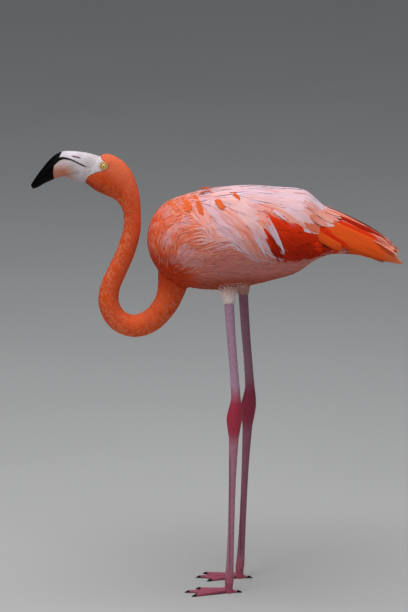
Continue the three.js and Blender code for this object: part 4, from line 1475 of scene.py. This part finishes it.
def make_claws(material):
    """Curved, pointed claws in place of the plain ones."""
    sides, rings = 14, 12
    share = np.linspace(0, 1, rings)
    for name in [node for node in nodes if node.startswith("claw_")]:
        corners, _ = node_arrays(name)
        foot_low, foot_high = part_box("foot_" + name.split("_")[2])
        ankle = np.array([foot_high.x - 0.02, (foot_low.y + foot_high.y) / 2])
        outward = normalised(corners[:, :2].mean(0) - ankle)
        reach = corners[:, :2] @ outward
        root = corners[reach < reach.min() + 0.0004].mean(0)
        tip = corners[reach > reach.max() - 0.0006].mean(0)
        radius = corners[:, 2].max() / 2
        square = np.array([-outward[1], outward[0], 0])
        centres = root + (tip - root) * share[:, None]
        radii = radius * (1 - share ** 1.5 * 0.80)
        centres[:, 2] = radii * 0.92 + 0.0004 * np.sin(np.pi * share)
        around = 2 * np.pi * np.arange(sides) / sides
        loops = (centres[:, None] + radii[:, None, None] * 0.92 * np.cos(around)[:, None] * square
                 + radii[:, None, None] * np.sin(around)[:, None] * np.array([0, 0, 0.92]))
        points, triangles = ring_loft(loops)
        shade = smoothstep(0.2, 0.9, (points - root) @ np.append(outward, 0) / np.linalg.norm(tip - root))
        colour = mix(np.tile(CLAW_BROWN, (len(points), 1)), QUILL_BLACK, shade)
        obj = make_mesh(name + "_horn", points, triangles, colour)
        obj.data.materials.append(material)
        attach(obj, "root")
        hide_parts(name)


# ---------------------------------------------------------------- skin

LEG_VOXEL = 0.0009
SCUTE_HEIGHT = 0.00035
SCUTE_PITCH = 0.0052


def head_skin():
    """The head's skin: bare and at full size on the face, and under the coat behind it."""
    rows = head_rows(170)
    rings = section_rings(rows, 150)
    collar = rings[0].mean(0) + (rings[0] - rings[0].mean(0)) * 0.93 + np.array([-0.0025, 0, 0.0006])
    rings = np.concatenate([collar[None], rings])
    points, triangles = ring_loft(rings)
    normals = point_normals(points, triangles)
    if signed_volume(points, triangles) < 0:
        normals = -normals
    edge = np.array(FACE_EDGE, float) * MM
    beyond = points[:, 0] - np.interp(points[:, 2], edge[:, 0], edge[:, 1])
    feathered = smoothstep(-0.0006, 0.0016, beyond)
    points = points - normals * (feathered * COAT_DEPTH_HEAD * MM)[:, None]
    eye_distance = np.hypot(points[:, 0] / MM - EYE_CENTRE[0], points[:, 2] / MM - EYE_CENTRE[2])
    folds = np.sin(eye_distance * 2.4) * smoothstep(13, 6, eye_distance) * (1 - feathered)
    points = points + normals * (folds * 0.12 * MM)[:, None]
    colour = mix(np.tile(FACE_WHITE, (len(points), 1)), LID_OCHRE,
                 0.9 * smoothstep(10.0, 6.5, eye_distance))
    colour = mix(colour, VERMILION, feathered)
    return points, triangles, colour


def lid_rings():
    """A fleshy ring of lid round each eye."""
    sides, rings = 14, 64
    parts = []
    around = 2 * np.pi * np.arange(rings) / rings
    section = 2 * np.pi * np.arange(sides) / sides
    for side in SIDES.values():
        loops = np.zeros((rings + 1, sides, 3))
        for ring in range(rings + 1):
            angle = around[ring % rings]
            crease = 1 + 0.10 * math.sin(9 * angle)
            reach_x = LID_OPENING[0] + LID_RADIUS + LID_RADIUS * crease * np.cos(section)
            reach_z = LID_OPENING[1] + LID_RADIUS + LID_RADIUS * crease * np.cos(section)
            loops[ring, :, 0] = EYE_CENTRE[0] + reach_x * math.cos(angle)
            loops[ring, :, 2] = EYE_CENTRE[2] + reach_z * math.sin(angle)
            ball = np.sqrt(EYE_RADIUS ** 2 - (LID_OPENING[0] + LID_RADIUS) ** 2)
            loops[ring, :, 1] = side * (EYE_CENTRE[1] + ball + 0.6 + 1.1 * LID_RADIUS * np.sin(section))
        points, triangles = ring_loft(loops * MM, closed=False)
        colour = mix(np.tile(LID_OCHRE, (len(points), 1)), LID_YELLOW,
                     0.6 * (1 + np.sin(9 * np.repeat(np.append(around, 0), sides))) / 2)
        parts.append((points, triangles, colour))
    return parts


def body_skin():
    """Skin of trunk, neck and thighs, which keeps the coat's depth below the coat."""
    parts = [node_arrays(name, 0.0003) for name in BODY_NODES]
    parts.append(ring_loft(section_rings(neck_rows(160), 48)))
    parts += [ring_loft(leg_rings(side, 60, 32)[20:]) for side in SIDES]
    points, triangles, normals = voxel_union("skin_form", parts, 0.003, 6)
    on_neck = neck_guide.depth(points) > -0.003
    on_thigh = (points[:, 2] < 0.585) & (np.abs(points[:, 1]) > 0.02) & (points[:, 0] > -0.03)
    rear = smoothstep(0.16, 0.21, points[:, 0])
    trunk_depth = COAT_DEPTH_BODY * (1 - rear) + COAT_DEPTH_WING * rear
    depth = np.where(on_neck, COAT_DEPTH_NECK, np.where(on_thigh, COAT_DEPTH_THIGH, trunk_depth)) * MM
    covered = np.minimum(body_guide.depth(points), 0.02)
    covered = np.where(on_neck | on_thigh, 0, covered)
    points = points - normals * np.maximum(depth - np.maximum(covered, 0), 0)[:, None]
    colour = np.where((on_neck & (points[:, 0] < -0.07))[:, None], VERMILION, body_markings(points))
    return points, triangles, colour


LEG_PAINTED_SHADE = {"left": 0.0, "right": 0.55}         # painted shade: how far each leg is darkened, the right one as if it stood in shadow
THIGH_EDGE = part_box("shank_left")[1].z / MM      # the feathers of the thigh end here


def leg_markings(places, shade):
    z = places[:, 2] / MM
    colour = mix(np.tile(FOOT_CRIMSON, (len(places), 1)), TARSUS_MAUVE, smoothstep(12, 60, z))
    colour = mix(colour, HOCK_CRIMSON, smoothstep(268, 305, z))
    colour = mix(colour, SHANK_LILAC, smoothstep(345, 392, z))
    # Painted shade: a leg given a share is darkened towards wine, as if it stood in shadow.
    colour = mix(colour, LEG_WINE, shade * smoothstep(20, 60, z) * np.ones(len(places)))
    return mix(colour, BLUSH, smoothstep(THIGH_EDGE - 1, THIGH_EDGE + 2, z))


def leg_skin(side_name):
    """Bare shank, hock, tarsus and webbed foot in one surface, with scutes down the front."""
    foot = node_arrays("foot_" + side_name, 0.0)
    shaft = leg_rings(side_name, 240, 40)
    below = shaft[0] - np.array([0, 0, 0.006])
    shaft = np.concatenate([below[None], shaft])
    points, triangles, normals = voxel_union("leg_form", [foot, ring_loft(shaft)], LEG_VOXEL, 5)
    heights = points[:, 2]
    levels = shaft[:, :, 2].mean(1)
    centre_x = np.interp(heights, levels, shaft[:, :, 0].mean(1))
    facing = -normals[:, 0]
    ankle = shaft[0].mean(0)
    along_toe = np.hypot(points[:, 0] - ankle[0], points[:, 1] - ankle[1])
    scute = np.abs(np.sin(np.pi * heights / SCUTE_PITCH)) ** 0.5 - 0.6
    leg_scutes = scute * smoothstep(0.2, 0.8, facing) * smoothstep(0.024, 0.034, heights)
    toe = np.abs(np.sin(np.pi * along_toe / 0.0042)) ** 0.5 - 0.6
    toe_scutes = toe * smoothstep(0.0034, 0.005, heights) * smoothstep(0.024, 0.016, heights)
    toe_scutes = toe_scutes * smoothstep(0.3, 0.8, normals[:, 2])
    points = points + normals * (SCUTE_HEIGHT * (leg_scutes + toe_scutes))[:, None]
    points[:, 2] = np.maximum(points[:, 2], 0)
    colour = leg_markings(points, LEG_PAINTED_SHADE[side_name])
    seam = np.exp(-((points[:, 0] - centre_x - 0.0012) / 0.0014) ** 2) * smoothstep(0.03, 0.06, heights)
    colour = mix(colour, LEG_WINE * 0.6, 0.65 * seam * smoothstep(0.27, 0.24, heights))
    return points, triangles, colour


def make_skin(material):
    parts = [head_skin(), *lid_rings(), body_skin(), *(leg_skin(side) for side in SIDES)]
    parts = [(points, triangles[:, ::-1] if signed_volume(points, triangles) < 0 else triangles, colour)
             for points, triangles, colour in parts]
    points, triangles, colours = combined(parts)
    obj = make_mesh("skin", points, triangles, colours)
    obj.data.materials.append(material)
    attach(obj, "root")
    flesh = [name for name in nodes if not name.startswith(("claw_", "eye_", "bill_"))]
    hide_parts(*flesh)
    print(f"skin: {len(triangles)} triangles")


# ---------------------------------------------------------------- studio


def make_studio():
    camera_data = bpy.data.cameras.new("camera")
    camera_data.sensor_width = SENSOR
    camera_data.lens = SENSOR * VIEW_DISTANCE / VIEW_HEIGHT
    camera_data.clip_end = 100
    camera = bpy.data.objects.new("camera", camera_data)
    bpy.context.scene.collection.objects.link(camera)
    back = Vector((0, -math.cos(VIEW_ELEVATION), math.sin(VIEW_ELEVATION)))
    camera.location = VIEW_CENTRE + back * VIEW_DISTANCE
    camera.rotation_euler = back.to_track_quat("Z", "Y").to_euler()
    bpy.context.scene.camera = camera

    work = bmesh.new()
    bmesh.ops.create_grid(work, x_segments=8, y_segments=8, size=30)
    mesh = bpy.data.meshes.new("floor")
    work.to_mesh(mesh)
    work.free()
    floor = bpy.data.objects.new("floor", mesh)
    bpy.context.scene.collection.objects.link(floor)
    mesh.materials.append(floor_material())

    world = bpy.data.worlds.new("studio")
    world.use_nodes = True
    sky = world.node_tree.nodes["Background"]
    sky.inputs["Color"].default_value = (0.86, 0.89, 0.93, 1)
    sky.inputs["Strength"].default_value = 0.21
    bpy.context.scene.world = world
    for name, place, size, power in (("overhead", (-0.2, -0.5, 3.4), 2.8, 92),
                                     ("front", (-2.2, -3.4, 2.6), 2.4, 30)):
        lamp = bpy.data.lights.new(name, "AREA")
        lamp.size = size
        lamp.energy = power
        light = bpy.data.objects.new(name, lamp)
        light.location = place
        light.rotation_euler = (Vector(place) - Vector((0, 0, 0.6))).to_track_quat("Z", "Y").to_euler()
        bpy.context.scene.collection.objects.link(light)
    bpy.context.scene.view_settings.view_transform = "Standard"


# ---------------------------------------------------------------- the whole bird

make_studio()
soft_vane = feather_material("soft_vane", 0.14, 26.0, 0.03)
small_vane = feather_material("small_vane", 0.08, 10.0, 0.02)
long_vane = feather_material("long_vane", 0.16, 40.0, 0.03)
make_skin(skin_material())
make_bill(horn_material("bill_horn", 0.38, 0.16))
make_eyes(eye_material())
make_claws(horn_material("claw_horn", 0.4, 0.25))
make_neck_part("head_feathers", 0, HEAD_COAT_END, 11, small_vane)
make_neck_part("neck_feathers", HEAD_COAT_END, 1.01, 12, small_vane)
make_body_coat("breast_feathers", on_breast, 0.0038, 0.024, 0.0042, 0.0005, 0.20, 21, soft_vane)
make_body_coat("back_feathers", on_back, 0.0046, 0.040, 0.0052, 0.0004, 0.08, 22, soft_vane)
make_body_coat("flank_feathers", on_flank, 0.0044, 0.036, 0.0050, 0.0004, 0.10, 23, soft_vane)
for name in SIDES:
    make_scapulars(name, long_vane)
    make_wisps(name, soft_vane)
    make_strands(name, soft_vane)
    make_tertials(name, long_vane)
    make_thigh_coat(name, small_vane)
make_saddle(long_vane)
make_tail(long_vane)
